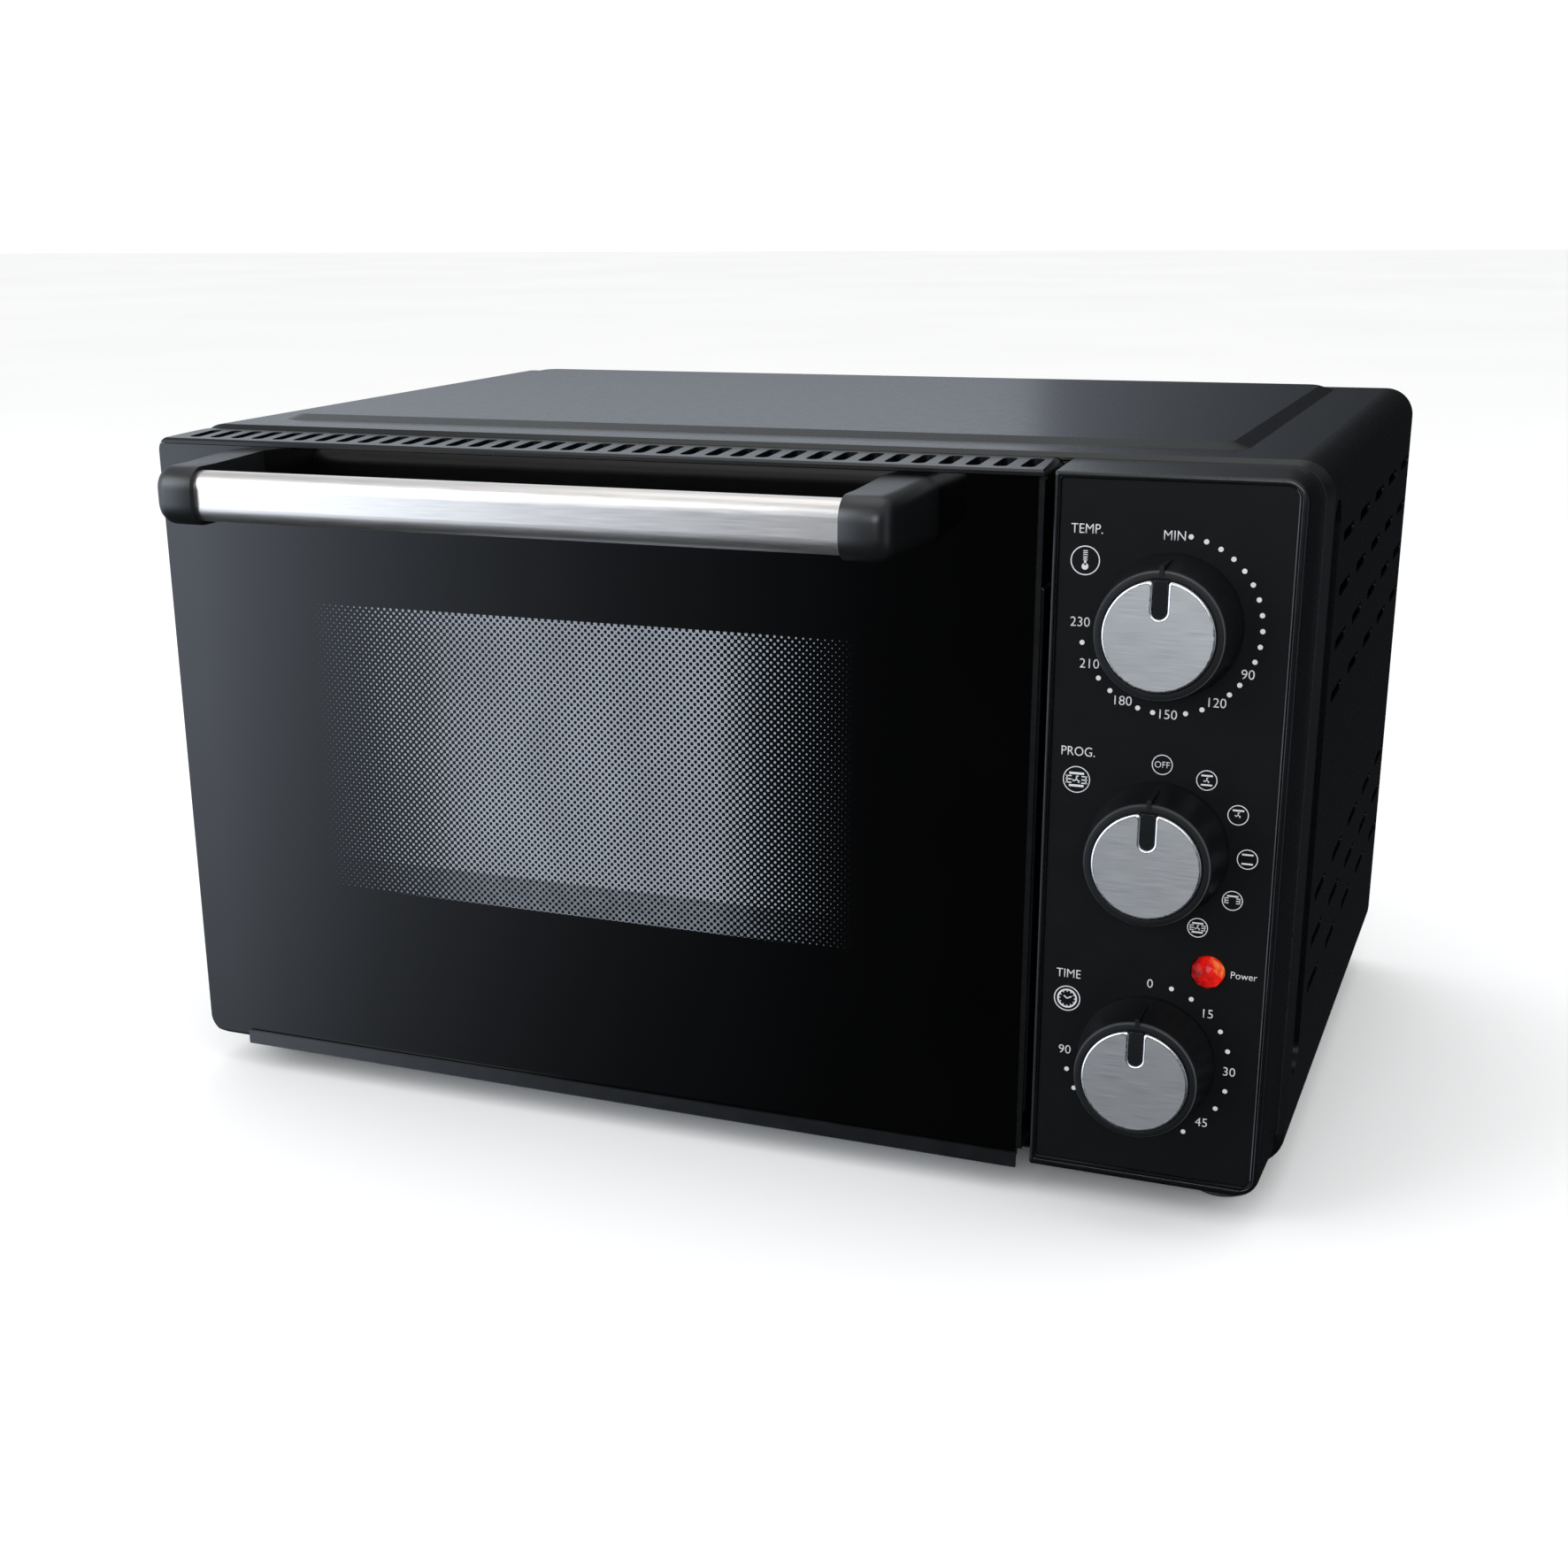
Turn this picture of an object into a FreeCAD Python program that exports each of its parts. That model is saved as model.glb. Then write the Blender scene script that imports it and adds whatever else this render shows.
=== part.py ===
import FreeCAD, Part
import math
import os

from FreeCAD import Vector

# Countertop toaster oven with a bottom-hinged glass door on the left and three dials on the
# right.  Millimetres.  +Z is up, +X is to the right of a person facing the oven, and the door
# faces -Y.  Lengths below are counted from the glass's front face (Y) and the worktop (Z);
# save() then moves every piece so that the origin is under the middle of the whole oven.

# Overall
BODY_W = 450.0
HALF_W = BODY_W / 2
FOOT_H = 12.0
WRAP_TOP = 269.0
WRAP_BACK = 302.0
SHEET = 0.8
HANDLE_FRONT = -49.0
REAR_REACH = 315.0
MID_Y = (HANDLE_FRONT + REAR_REACH) / 2

# Where the wrap meets the door and the bezel
SEAM_Y = 26.5
SEAM_HALF = 222.5
SEAM_TOP = 267.4
NOSE = 2.0
CORNER_R = 12.0
LOW_CORNER_R = 15.0
FLANGE_X = 205.0
PANEL = dict(x0=-203.0, x1=192.0, y0=50.0, y1=296.0, radius=9.0, flank=6.0, rise=2.0)

# Side vents and groove
VENT_COLUMNS = [77.0 + 51.0 * n for n in range(5)]
VENT_ROWS = [239.0, 219.8, 200.6, 181.4, 106.8, 88.8, 70.8]
VENT_L = 30.0
VENT_H = 4.0
GROOVE = dict(y0=30.5, y1=49.0, z0=46.0, z1=255.0, depth=2.2)

# Door
DOOR_X0 = -224.5
DOOR_X1 = 134.0
DOOR_BACK = 25.5
DOOR_TOP = 263.0
GLASS_T = 3.0
GLASS_X1 = 132.0
GLASS_BOTTOM = 12.7
GLASS_TOP = 264.0
GLASS_BEVEL = 1.5
HINGE_Y = 5.4
HINGE_Z = 22.3
BARREL_R = 6.5
PIN_R = 1.2
RUN_CLEAR = 0.05
TAB_R = 2.0
NOTCHES = ((-221.0, -209.0), (118.0, 130.0))
RAIL_SLOTS = 36
RAIL_PITCH = 9.64
RAIL_MID = -42.4
RAIL_SLOT_HALF = 2.6

# Handle
HANDLE_MID = -48.7
TUBE_HALF = 126.5
TUBE_Z0 = 241.2
TUBE_Z1 = 260.0
TUBE_FRONT = -46.5
TUBE_BACK = -34.5
BRACKET_W = 19.5
BRACKET_RIM = 1.6

# Control side
BEZEL_X0 = 137.0
FASCIA = dict(x0=139.5, x1=217.0, z0=16.3, z1=264.0, radius=4.0)
FASCIA_Y = 0.8
FASCIA_T = 2.0
KNOB_X = 178.0
KNOBS = {"timer": 59.6, "programme": 138.0, "temperature": 216.4}
KNOB_BASE_R = 24.3
KNOB_FRONT = -19.0
CAP_R = 18.6
SHAFT_R = 3.0
LAMP_X = 197.7
LAMP_Z = 95.7

# Cavity
CAV_X0 = -205.0
CAV_X1 = 118.0
CAV_BACK = 290.0
CAV_TOP = 239.0
CAV_FLOOR = 13.0
FRAME_Z0 = 17.0
FRAME_Y = 27.0
FRAME_T = 1.5
MOUTH = dict(x0=-203.5, x1=116.5, z0=36.0, z1=234.0, radius=8.0)
ELEMENT_R = 3.5
ELEMENT_Y = (105.0, 225.0)
ELEMENT_Z = {"upper_elements": 223.0, "lower_elements": 42.0}
RACK_Z = 84.0
GUIDE_Z = (RACK_Z, 132.0, 180.0)
RACK_R = 2.2
FAN_Y = 215.0
FAN_Z = 158.0
FAN_R = 46.0
FAN_HOLE_RINGS = ((14.0, 10), (27.0, 18), (40.0, 26))
FAN_HOLE_R = 3.4
SPIT_Y = 128.0
SPIT_Z = 150.0

# Crumb tray
TRAY_X0 = -187.0
TRAY_X1 = 114.0
TRAY_Z = 10.7
TRAY_RIM = 11.7
TRAY_SHEET = 0.5
LIP = dict(x0=-204.4, x1=132.5, y0=-1.8, y1=-0.5, z1=16.5)
RUNNER_Z = 9.6
RUNNER_T = 1.6
RUNNER_GAP = 0.8


# ---- helpers ------------------------------------------------------------------------------

def box(x0, x1, y0, y1, z0, z1):
    return Part.makeBox(x1 - x0, y1 - y0, z1 - z0, Vector(x0, y0, z0))


def rod_x(x0, x1, y, z, r):
    return Part.makeCylinder(r, x1 - x0, Vector(x0, y, z), Vector(1, 0, 0))


def rod_y(x, z, y0, y1, r):
    return Part.makeCylinder(r, y1 - y0, Vector(x, y0, z), Vector(0, 1, 0))


def rod_z(x, y, z0, z1, r):
    return Part.makeCylinder(r, z1 - z0, Vector(x, y, z0), Vector(0, 0, 1))


def outline(a0, a1, b0, b1, radii, at):
    """Rectangle with rounded corners, radii from low-low round to low-high; at(a, b) is a point."""
    signs = ((1, 1, 180), (-1, 1, 270), (-1, -1, 0), (1, -1, 90))
    corners = ((a0, b0), (a1, b0), (a1, b1), (a0, b1))
    edges = []
    ends = []
    for (ca, cb), (sa, sb, start), r in zip(corners, signs, radii):
        if r < 0.01:
            ends.append((at(ca, cb), at(ca, cb)))
            continue
        turn = [math.radians(start + d) for d in (0, 45, 90)]
        arc = [at(ca + sa * r + r * math.cos(t), cb + sb * r + r * math.sin(t)) for t in turn]
        edges.append(Part.Arc(*arc).toShape())
        ends.append((arc[0], arc[2]))
    for n, (_, leave) in enumerate(ends):
        arrive = ends[(n + 1) % 4][0]
        if leave.distanceToPoint(arrive) > 1e-6:
            edges.append(Part.LineSegment(leave, arrive).toShape())
    return Part.Wire(Part.__sortEdges__(edges))


def prism(wire, way):
    return Part.Face(wire).extrude(way)


def plate_y(x0, x1, z0, z1, y0, y1, *radii):
    """Upright plate facing the front; one radius for all corners or four."""
    radii = radii * 4 if len(radii) == 1 else radii
    return prism(outline(x0, x1, z0, z1, radii, lambda a, b: Vector(a, y0, b)), Vector(0, y1 - y0, 0))


def plate_x(y0, y1, z0, z1, x0, x1, r):
    return prism(outline(y0, y1, z0, z1, (r,) * 4, lambda a, b: Vector(x0, a, b)), Vector(x1 - x0, 0, 0))


def plate_z(x0, x1, y0, y1, z0, z1, r):
    return prism(outline(x0, x1, y0, y1, (r,) * 4, lambda a, b: Vector(a, b, z0)), Vector(0, 0, z1 - z0))


def polygon(points, way):
    return prism(Part.makePolygon([Vector(*p) for p in points + points[:1]]), way)


def turned(profile, x, z):
    """Solid of revolution about the Y line through (x, z); profile is a list of (radius, y)."""
    wire = Part.makePolygon([Vector(x + r, y, z) for r, y in profile + profile[:1]])
    return Part.Face(wire).revolve(Vector(x, 0, z), Vector(0, 1, 0), 360)


def join(shapes):
    return shapes[0].multiFuse(shapes[1:]).removeSplitter()


def less(shape, tools):
    return shape.cut(Part.makeCompound(tools))


def mirrored(shape, x):
    return shape.mirror(Vector(x, 0, 0), Vector(1, 0, 0))


def save(name, shape):
    shape = shape.copy()
    shape.translate(Vector(0, -MID_Y, 0))
    if not shape.isValid():
        raise ValueError(name + " is not valid")
    shape.exportStep("parts/" + name + ".step")
    bb = shape.BoundBox
    print(f"{name:24s} solids {len(shape.Solids)} vol {shape.Volume:10.0f} z {bb.ZMin:7.1f} {bb.ZMax:7.1f}")


# ---- casing -------------------------------------------------------------------------------

def wrap_volume(inset):
    """Space inside the wrap's outer face, moved inwards by inset."""
    def section(y, half, top, r):
        low_r = LOW_CORNER_R - inset
        return outline(-half + inset, half - inset, FOOT_H + inset, top - inset,
                       (low_r, low_r, r - inset, r - inset), lambda a, b: Vector(a, y, b))
    front = section(SEAM_Y, SEAM_HALF, SEAM_TOP, CORNER_R)
    full = section(SEAM_Y + NOSE, HALF_W, WRAP_TOP, CORNER_R)
    nose = Part.makeLoft([front, full], True, True)
    return nose.fuse(prism(full, Vector(0, WRAP_BACK - SEAM_Y - NOSE, 0)))


def pressed_panel(drop):
    def level(inset, z):
        radius = PANEL["radius"] - inset / 2
        return outline(PANEL["x0"] + inset, PANEL["x1"] - inset, PANEL["y0"] + inset, PANEL["y1"] - inset,
                       (radius,) * 4, lambda a, b: Vector(a, b, z))
    foot = level(0, WRAP_TOP - drop)
    crest = level(PANEL["flank"], WRAP_TOP + PANEL["rise"] - drop)
    return Part.makeLoft([foot, crest], True, True)


def side_groove(grow, depth):
    r = (GROOVE["y1"] - GROOVE["y0"]) / 2 + grow - 0.05
    return plate_x(GROOVE["y0"] - grow, GROOVE["y1"] + grow, GROOVE["z0"] - grow, GROOVE["z1"] + grow,
                   HALF_W - depth, HALF_W, r)


def make_wrap():
    wrap = wrap_volume(0).cut(wrap_volume(SHEET))
    wrap = wrap.fuse(pressed_panel(0)).cut(pressed_panel(SHEET))
    deep = GROOVE["depth"]
    wall = side_groove(SHEET, deep + SHEET)
    wrap = join([wrap, wall, mirrored(wall, 0)])
    cuts = [side_groove(0, deep), mirrored(side_groove(0, deep), 0)]
    cuts.append(box(-FLANGE_X, FLANGE_X, SEAM_Y - 1, WRAP_BACK + 1, FOOT_H - 1, FOOT_H + 2 * SHEET))
    for y in VENT_COLUMNS:
        for z in VENT_ROWS:
            slot = plate_x(y - VENT_L / 2, y + VENT_L / 2, z - VENT_H / 2, z + VENT_H / 2,
                           HALF_W - 3, HALF_W + 1, VENT_H / 2 - 0.05)
            cuts += [slot, mirrored(slot, 0)]
    return less(wrap, cuts)


BACK_Y = WRAP_BACK - 2.0
PAN_TOP = FOOT_H + 1
TONGUE_Y = 14.0
WALL = 0.6
WALL_FRONT = FRAME_Y + FRAME_T
BACK_SCREWS = [(-212.0, 24.0), (0.0, 24.0), (212.0, 24.0), (-212.0, 140.0), (212.0, 140.0),
               (-212.0, 256.0), (0.0, 256.0), (212.0, 256.0)]
SPACER_X = 150.0
SPACER_Z = 214.0
GLAND_X = 186.0
GLAND_Z = 46.0


def make_back_panel():
    in_x = HALF_W - SHEET
    low_r = LOW_CORNER_R - SHEET - 0.2
    panel = plate_y(-in_x, in_x, PAN_TOP, WRAP_TOP - SHEET, BACK_Y, BACK_Y + SHEET,
                    low_r, low_r, CORNER_R - SHEET, CORNER_R - SHEET)
    cuts = [rod_y(x, z, BACK_Y - 1, BACK_Y + 3, 1.7) for x, z in BACK_SCREWS]
    cuts.append(rod_y(GLAND_X, GLAND_Z, BACK_Y - 1, BACK_Y + 3, 9.0))
    for row in range(4):
        for column in range(9):
            x = -160 + 34 * column
            z = 60 + 18 * row
            cuts.append(plate_y(x - 12, x + 12, z - 2, z + 2, BACK_Y - 1, BACK_Y + 3, 1.95))
    return less(panel, cuts)


def make_back_screws():
    return Part.makeCompound([join([rod_y(x, z, BACK_Y - 5, BACK_Y + SHEET, 1.6),
                                    turned([(0, BACK_Y + SHEET), (3.4, BACK_Y + SHEET),
                                            (3.0, BACK_Y + SHEET + 1.2), (1.6, BACK_Y + SHEET + 2),
                                            (0, BACK_Y + SHEET + 2)], x, z)]) for x, z in BACK_SCREWS])


def make_rear_spacers():
    near = BACK_Y + SHEET
    peg = plate_y(SPACER_X - 9, SPACER_X + 9, SPACER_Z - 20, SPACER_Z + 20, near, REAR_REACH, 6)
    peg = peg.makeFillet(2.0, [e for e in peg.Edges if abs(e.BoundBox.YMin - REAR_REACH) < 0.01])
    return Part.makeCompound([peg, mirrored(peg, 0)])


def make_cord_gland():
    near = BACK_Y + SHEET
    ring = turned([(4.2, BACK_Y - 6), (8.8, BACK_Y - 6), (8.8, near), (12.5, near), (12.5, near + 3),
                   (8.0, near + 4.5), (6.6, near + 12), (4.2, near + 12)], GLAND_X, GLAND_Z)
    return ring


PAN_SLOT_X = (-170.0, -120.0, -70.0, -20.0, 30.0, 80.0, 160.0)


def make_base_pan():
    """Floor sheet over the crumb tray, with rows of slots that let crumbs fall through."""
    tongue = box(-FLANGE_X, BEZEL_X0 - 1, TONGUE_Y, WALL_FRONT, FOOT_H, PAN_TOP)
    floor = box(-FLANGE_X, FLANGE_X, WALL_FRONT, BACK_Y, FOOT_H, PAN_TOP)
    cuts = []
    for row in range(5):
        y = 85 + 40 * row
        for x in PAN_SLOT_X:
            cuts.append(plate_z(x - 15, x + 15, y - 2.5, y + 2.5, FOOT_H - 1, PAN_TOP + 1, 2.4))
    return less(tongue.fuse(floor), cuts)


def make_left_runner():
    """Angle under the floor sheet that the crumb tray's edge rests on."""
    outer = TRAY_X0 - RUNNER_GAP - RUNNER_T
    web = box(outer, TRAY_X0 - RUNNER_GAP, 16, 286, RUNNER_Z, FOOT_H)
    ledge = box(outer, TRAY_X0 + 5, 16, 286, RUNNER_Z, TRAY_Z - 0.2)
    return join([web, ledge])


FEET = {"front_left": (-203.0, 33.0), "front_right": (203.0, 33.0),
        "rear_left": (-203.0, 280.0), "rear_right": (203.0, 280.0)}


def make_foot(x, y):
    cone = Part.makeCone(10.5, 13.0, FOOT_H, Vector(x, y, 0), Vector(0, 0, 1))
    return cone.makeFillet(1.5, [e for e in cone.Edges if e.BoundBox.ZMax < 0.01])


def make_front_frame():
    plate = plate_y(-SEAM_HALF + 1.4, BEZEL_X0 - 1, FRAME_Z0, SEAM_TOP - 1.4, FRAME_Y, FRAME_Y + FRAME_T,
                    8, 1, 1, CORNER_R - 2)
    mouth = plate_y(MOUTH["x0"], MOUTH["x1"], MOUTH["z0"], MOUTH["z1"], FRAME_Y - 1, FRAME_Y + 4,
                    MOUTH["radius"])
    return plate.cut(mouth)


# ---- cavity -------------------------------------------------------------------------------

BUSH_R = 5.5


def element_holes(x):
    return [rod_x(x - 3, x + 3, y, z, BUSH_R) for y in ELEMENT_Y for z in ELEMENT_Z.values()]


def make_left_wall():
    wall = box(CAV_X0 - WALL, CAV_X0, WALL_FRONT, CAV_BACK + WALL, CAV_FLOOR, CAV_TOP + WALL)
    return less(wall, element_holes(CAV_X0))


def make_right_wall():
    """Wall with the spit's hole and three rings of holes in front of the fan."""
    wall = box(CAV_X1, CAV_X1 + WALL, WALL_FRONT, CAV_BACK + WALL, CAV_FLOOR, CAV_TOP + WALL)
    cuts = element_holes(CAV_X1) + [rod_x(CAV_X1 - 2, CAV_X1 + 3, SPIT_Y, SPIT_Z, 9)]
    for ring, count in FAN_HOLE_RINGS:
        for n in range(count):
            angle = 2 * math.pi * n / count
            cuts.append(rod_x(CAV_X1 - 2, CAV_X1 + 3, FAN_Y + ring * math.cos(angle),
                              FAN_Z + ring * math.sin(angle), FAN_HOLE_R))
    return less(wall, cuts)


def make_ceiling():
    return box(CAV_X0, CAV_X1, WALL_FRONT, CAV_BACK, CAV_TOP, CAV_TOP + WALL)


def make_back_wall():
    return box(CAV_X0, CAV_X1, CAV_BACK, CAV_BACK + WALL, CAV_FLOOR, CAV_TOP + WALL)


def make_guides(x0, x1):
    """Ledges that carry the rack, one under each shelf height."""
    drop = RACK_R + 0.4
    return Part.makeCompound([box(x0, x1, 48, 262, z - drop - 1.5, z - drop) for z in GUIDE_Z])


def make_elements(z):
    rods = [rod_x(CAV_X0 - 10, CAV_X1 + 10, y, z, ELEMENT_R) for y in ELEMENT_Y]
    return Part.makeCompound(rods)


def make_bushes():
    rings = []
    for side, x in ((-1, CAV_X0), (1, CAV_X1)):
        for y in ELEMENT_Y:
            for z in ELEMENT_Z.values():
                inner = x - side * 4
                outer = x + side * 8
                body = rod_x(min(inner, outer), max(inner, outer), y, z, BUSH_R - 0.1)
                rings.append(body.cut(rod_x(x - 12, x + 12, y, z, ELEMENT_R + 0.05)))
    return Part.makeCompound(rings)


def make_rack():
    """Rim of thick wire, thin wires from front to back, and two cross stays under them."""
    x0 = CAV_X0 + 3.5
    x1 = CAV_X1 - 3.5
    y0 = 44.0
    y1 = 272.0
    bend = 9.0
    path = outline(x0 + RACK_R, x1 - RACK_R, y0, y1, (bend,) * 4, lambda a, b: Vector(a, b, RACK_Z))
    start = path.Edges[0].Vertexes[0].Point
    tangent = path.Edges[0].tangentAt(path.Edges[0].FirstParameter)
    ring = Part.Wire(Part.makeCircle(RACK_R, start, tangent))
    rim = Part.Wire(path.Edges).makePipeShell([ring], True, True)
    pitch = 12.4
    count = 24
    first = (x0 + x1 - pitch * (count - 1)) / 2
    wires = [rod_y(first + pitch * n, RACK_Z, y0, y1, 1.3) for n in range(count)]
    stays = [rod_x(CAV_X0 + 8, CAV_X1 - 8, y, RACK_Z - 2.2, 1.6) for y in (110.0, 205.0)]
    return join([rim] + wires + stays)


FAN_BACK = CAV_X1 + 18.0


def make_fan_housing():
    outer = rod_x(CAV_X1 + WALL, FAN_BACK, FAN_Y, FAN_Z, FAN_R + 6)
    inner = rod_x(CAV_X1, FAN_BACK - 1, FAN_Y, FAN_Z, FAN_R + 5)
    return less(outer, [inner, rod_x(FAN_BACK - 3, FAN_BACK + 1, FAN_Y, FAN_Z, 6)])


def make_fan_rotor():
    hub = rod_x(CAV_X1 + 4, CAV_X1 + 13, FAN_Y, FAN_Z, 8)
    shaft = rod_x(CAV_X1 + 12, FAN_BACK + 12, FAN_Y, FAN_Z, SHAFT_R)
    back_plate = rod_x(CAV_X1 + 12, CAV_X1 + 13, FAN_Y, FAN_Z, FAN_R - 2)
    parts = [hub, shaft, back_plate]
    for n in range(8):
        blade = box(CAV_X1 + 4, CAV_X1 + 12.5, FAN_Y - 0.6, FAN_Y + 0.6, FAN_Z + 7, FAN_Z + FAN_R - 2.5)
        blade.rotate(Vector(CAV_X1, FAN_Y, FAN_Z), Vector(1, 0, 0), 45 * n)
        parts.append(blade)
    return join(parts)


def make_fan_motor():
    can = rod_x(FAN_BACK + 1, FAN_BACK + 32, FAN_Y, FAN_Z, 24)
    neck = rod_x(FAN_BACK, FAN_BACK + 2, FAN_Y, FAN_Z, 10)
    bore = rod_x(FAN_BACK - 1, FAN_BACK + 13, FAN_Y, FAN_Z, SHAFT_R + RUN_CLEAR)
    return join([can, neck]).cut(bore)


def make_spit_socket():
    cup = rod_x(CAV_X1 - 12, CAV_X1 - 0.5, SPIT_Y, SPIT_Z, 8)
    drive = box(CAV_X1 - 13, CAV_X1 - 3, SPIT_Y - 4.2, SPIT_Y + 4.2, SPIT_Z - 4.2, SPIT_Z + 4.2)
    shaft = rod_x(CAV_X1 - 1, CAV_X1 + 16, SPIT_Y, SPIT_Z, 4)
    return join([cup.cut(drive), shaft])


def make_spit_motor():
    case = box(CAV_X1 + 3, CAV_X1 + 30, SPIT_Y - 24, SPIT_Y + 24, SPIT_Z - 24, SPIT_Z + 24)
    return case.cut(rod_x(CAV_X1 + 2, CAV_X1 + 17, SPIT_Y, SPIT_Z, 4 + RUN_CLEAR))


def make_spit_support():
    tab = box(CAV_X0, CAV_X0 + 9, SPIT_Y - 9, SPIT_Y + 9, SPIT_Z - 12, SPIT_Z + 5)
    notch = join([rod_x(CAV_X0 + 2, CAV_X0 + 10, SPIT_Y, SPIT_Z, 4.5),
                  box(CAV_X0 + 2, CAV_X0 + 10, SPIT_Y - 4.5, SPIT_Y + 4.5, SPIT_Z, SPIT_Z + 8)])
    return tab.cut(notch)


def make_crumb_tray():
    """Shallow sheet that slides under the oven; its lip stands in front of the glass."""
    t = TRAY_SHEET
    pan = box(TRAY_X0, TRAY_X1, LIP["y0"], 278, TRAY_Z, TRAY_RIM)
    pan = pan.cut(box(TRAY_X0 + t, TRAY_X1 - t, LIP["y1"], 278 - t, TRAY_Z + t, TRAY_RIM + 1))
    front = box(LIP["x0"], LIP["x1"], LIP["y0"], LIP["y1"], TRAY_Z, LIP["z1"])
    return join([pan, front])


# ---- door ---------------------------------------------------------------------------------

WINDOW = dict(x0=-203.0, x1=112.0, z0=38.0, z1=240.0)
INNER_GLASS = dict(x0=-209.0, x1=118.0, z0=32.0, z1=244.0)
HANDLE_SCREW_X = (HANDLE_MID - TUBE_HALF - 8, HANDLE_MID + TUBE_HALF + 8)
HANDLE_SCREW_Z = (TUBE_Z0 + TUBE_Z1) / 2


def door_volume(x1, bottom, top, y0, y1):
    """Space inside the door's outline, which the glass, the frame and the rail share."""
    plate = plate_y(DOOR_X0, x1, bottom, SEAM_TOP, y0, y1, 8, 2, 4, 6.5)
    return plate.common(box(DOOR_X0 - 1, x1 + 1, y0, y1, bottom, top))


def glass_volume(y0, y1):
    return door_volume(GLASS_X1, GLASS_BOTTOM, GLASS_TOP, y0, y1)


def make_door_frame():
    frame = door_volume(DOOR_X1, HINGE_Z - BARREL_R, DOOR_TOP, 0.2, DOOR_BACK)
    toe = box(DOOR_X0 - 1, DOOR_X1 + 1, -1, HINGE_Y, HINGE_Z - BARREL_R - 1, HINGE_Z)
    toe = toe.cut(rod_x(DOOR_X0 - 2, DOOR_X1 + 2, HINGE_Y, HINGE_Z, BARREL_R))
    cuts = [toe, glass_volume(-1, GLASS_T)]
    cuts.append(box(WINDOW["x0"], WINDOW["x1"], 0, DOOR_BACK + 1, WINDOW["z0"], WINDOW["z1"]))
    cuts.append(plate_y(INNER_GLASS["x0"], INNER_GLASS["x1"], INNER_GLASS["z0"], INNER_GLASS["z1"],
                        DOOR_BACK - 4, DOOR_BACK + 1, 4))
    for x0, x1 in NOTCHES:
        cuts.append(box(x0, x1, GLASS_T, DOOR_BACK + 1, HINGE_Z - BARREL_R - 1, HINGE_Z + TAB_R + 1))
        cuts.append(rod_x(x0 - 3, x1 + 3, HINGE_Y, HINGE_Z, PIN_R))
    cuts += [rod_y(x, HANDLE_SCREW_Z, 0, DOOR_BACK + 1, 5) for x in HANDLE_SCREW_X]
    return less(frame, cuts)


def make_hinge_pins():
    return Part.makeCompound([rod_x(x0 - 3, x1 + 3, HINGE_Y, HINGE_Z, PIN_R) for x0, x1 in NOTCHES])


def make_hinge_bracket(notch):
    mid = (notch[0] + notch[1]) / 2
    arm = join([rod_x(mid - 3, mid + 3, HINGE_Y, HINGE_Z, TAB_R),
                box(mid - 3, mid + 3, HINGE_Y, FRAME_Y, HINGE_Z - TAB_R, HINGE_Z + TAB_R)])
    return arm.cut(rod_x(mid - 4, mid + 4, HINGE_Y, HINGE_Z, PIN_R + RUN_CLEAR))


def make_outer_glass():
    cuts = [rod_y(x, HANDLE_SCREW_Z, -1, GLASS_T + 1, 2.2) for x in HANDLE_SCREW_X]
    edge = DOOR_X0 - 1
    bevel = [(edge, -1, GLASS_BOTTOM - 1), (edge, GLASS_BEVEL, GLASS_BOTTOM - 1),
             (edge, GLASS_BEVEL, GLASS_BOTTOM), (edge, 0, GLASS_BOTTOM + GLASS_BEVEL),
             (edge, -1, GLASS_BOTTOM + GLASS_BEVEL)]
    cuts.append(polygon(bevel, Vector(GLASS_X1 - DOOR_X0 + 2, 0, 0)))
    return less(glass_volume(0, GLASS_T), cuts)


def make_inner_glass():
    return plate_y(INNER_GLASS["x0"] + 0.5, INNER_GLASS["x1"] - 0.5, INNER_GLASS["z0"] + 0.5,
                   INNER_GLASS["z1"] - 0.5, DOOR_BACK - 4, DOOR_BACK - 0.5, 4)


def make_door_top_rail():
    lip_z = GLASS_TOP + 0.2
    section = [(DOOR_X0, 0.2, lip_z), (DOOR_X0, 3.2, lip_z), (DOOR_X0, 3.2, DOOR_TOP),
               (DOOR_X0, DOOR_BACK, DOOR_TOP), (DOOR_X0, DOOR_BACK, SEAM_TOP),
               (DOOR_X0, 1.2, SEAM_TOP - 1.2), (DOOR_X0, 0.2, SEAM_TOP - 2.0)]
    rail = polygon(section, Vector(DOOR_X1 - DOOR_X0, 0, 0))
    rail = rail.common(door_volume(DOOR_X1, GLASS_BOTTOM, SEAM_TOP, 0, DOOR_BACK))
    cuts = [box(DOOR_X0 + 3, DOOR_X1 - 3, 5, DOOR_BACK - 1.2, DOOR_TOP - 1, SEAM_TOP - 2.4)]
    for n in range(RAIL_SLOTS):
        x = RAIL_MID + RAIL_PITCH * (n - (RAIL_SLOTS - 1) / 2)
        cuts.append(plate_z(x - RAIL_SLOT_HALF, x + RAIL_SLOT_HALF, 5.0, 22.0,
                            SEAM_TOP - 4, SEAM_TOP + 1, 2.0))
    return less(rail, cuts)


def tube_section(shrink, x):
    r = (TUBE_BACK - TUBE_FRONT) / 2 - shrink - 0.1
    return outline(TUBE_FRONT + shrink, TUBE_BACK - shrink, TUBE_Z0 + shrink, TUBE_Z1 - shrink,
                   (r,) * 4, lambda a, b: Vector(x, a, b))


def make_handle_tube():
    x0 = HANDLE_MID - TUBE_HALF
    way = Vector(2 * TUBE_HALF, 0, 0)
    return prism(tube_section(0, x0), way).cut(prism(tube_section(1.2, x0), way))


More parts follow.
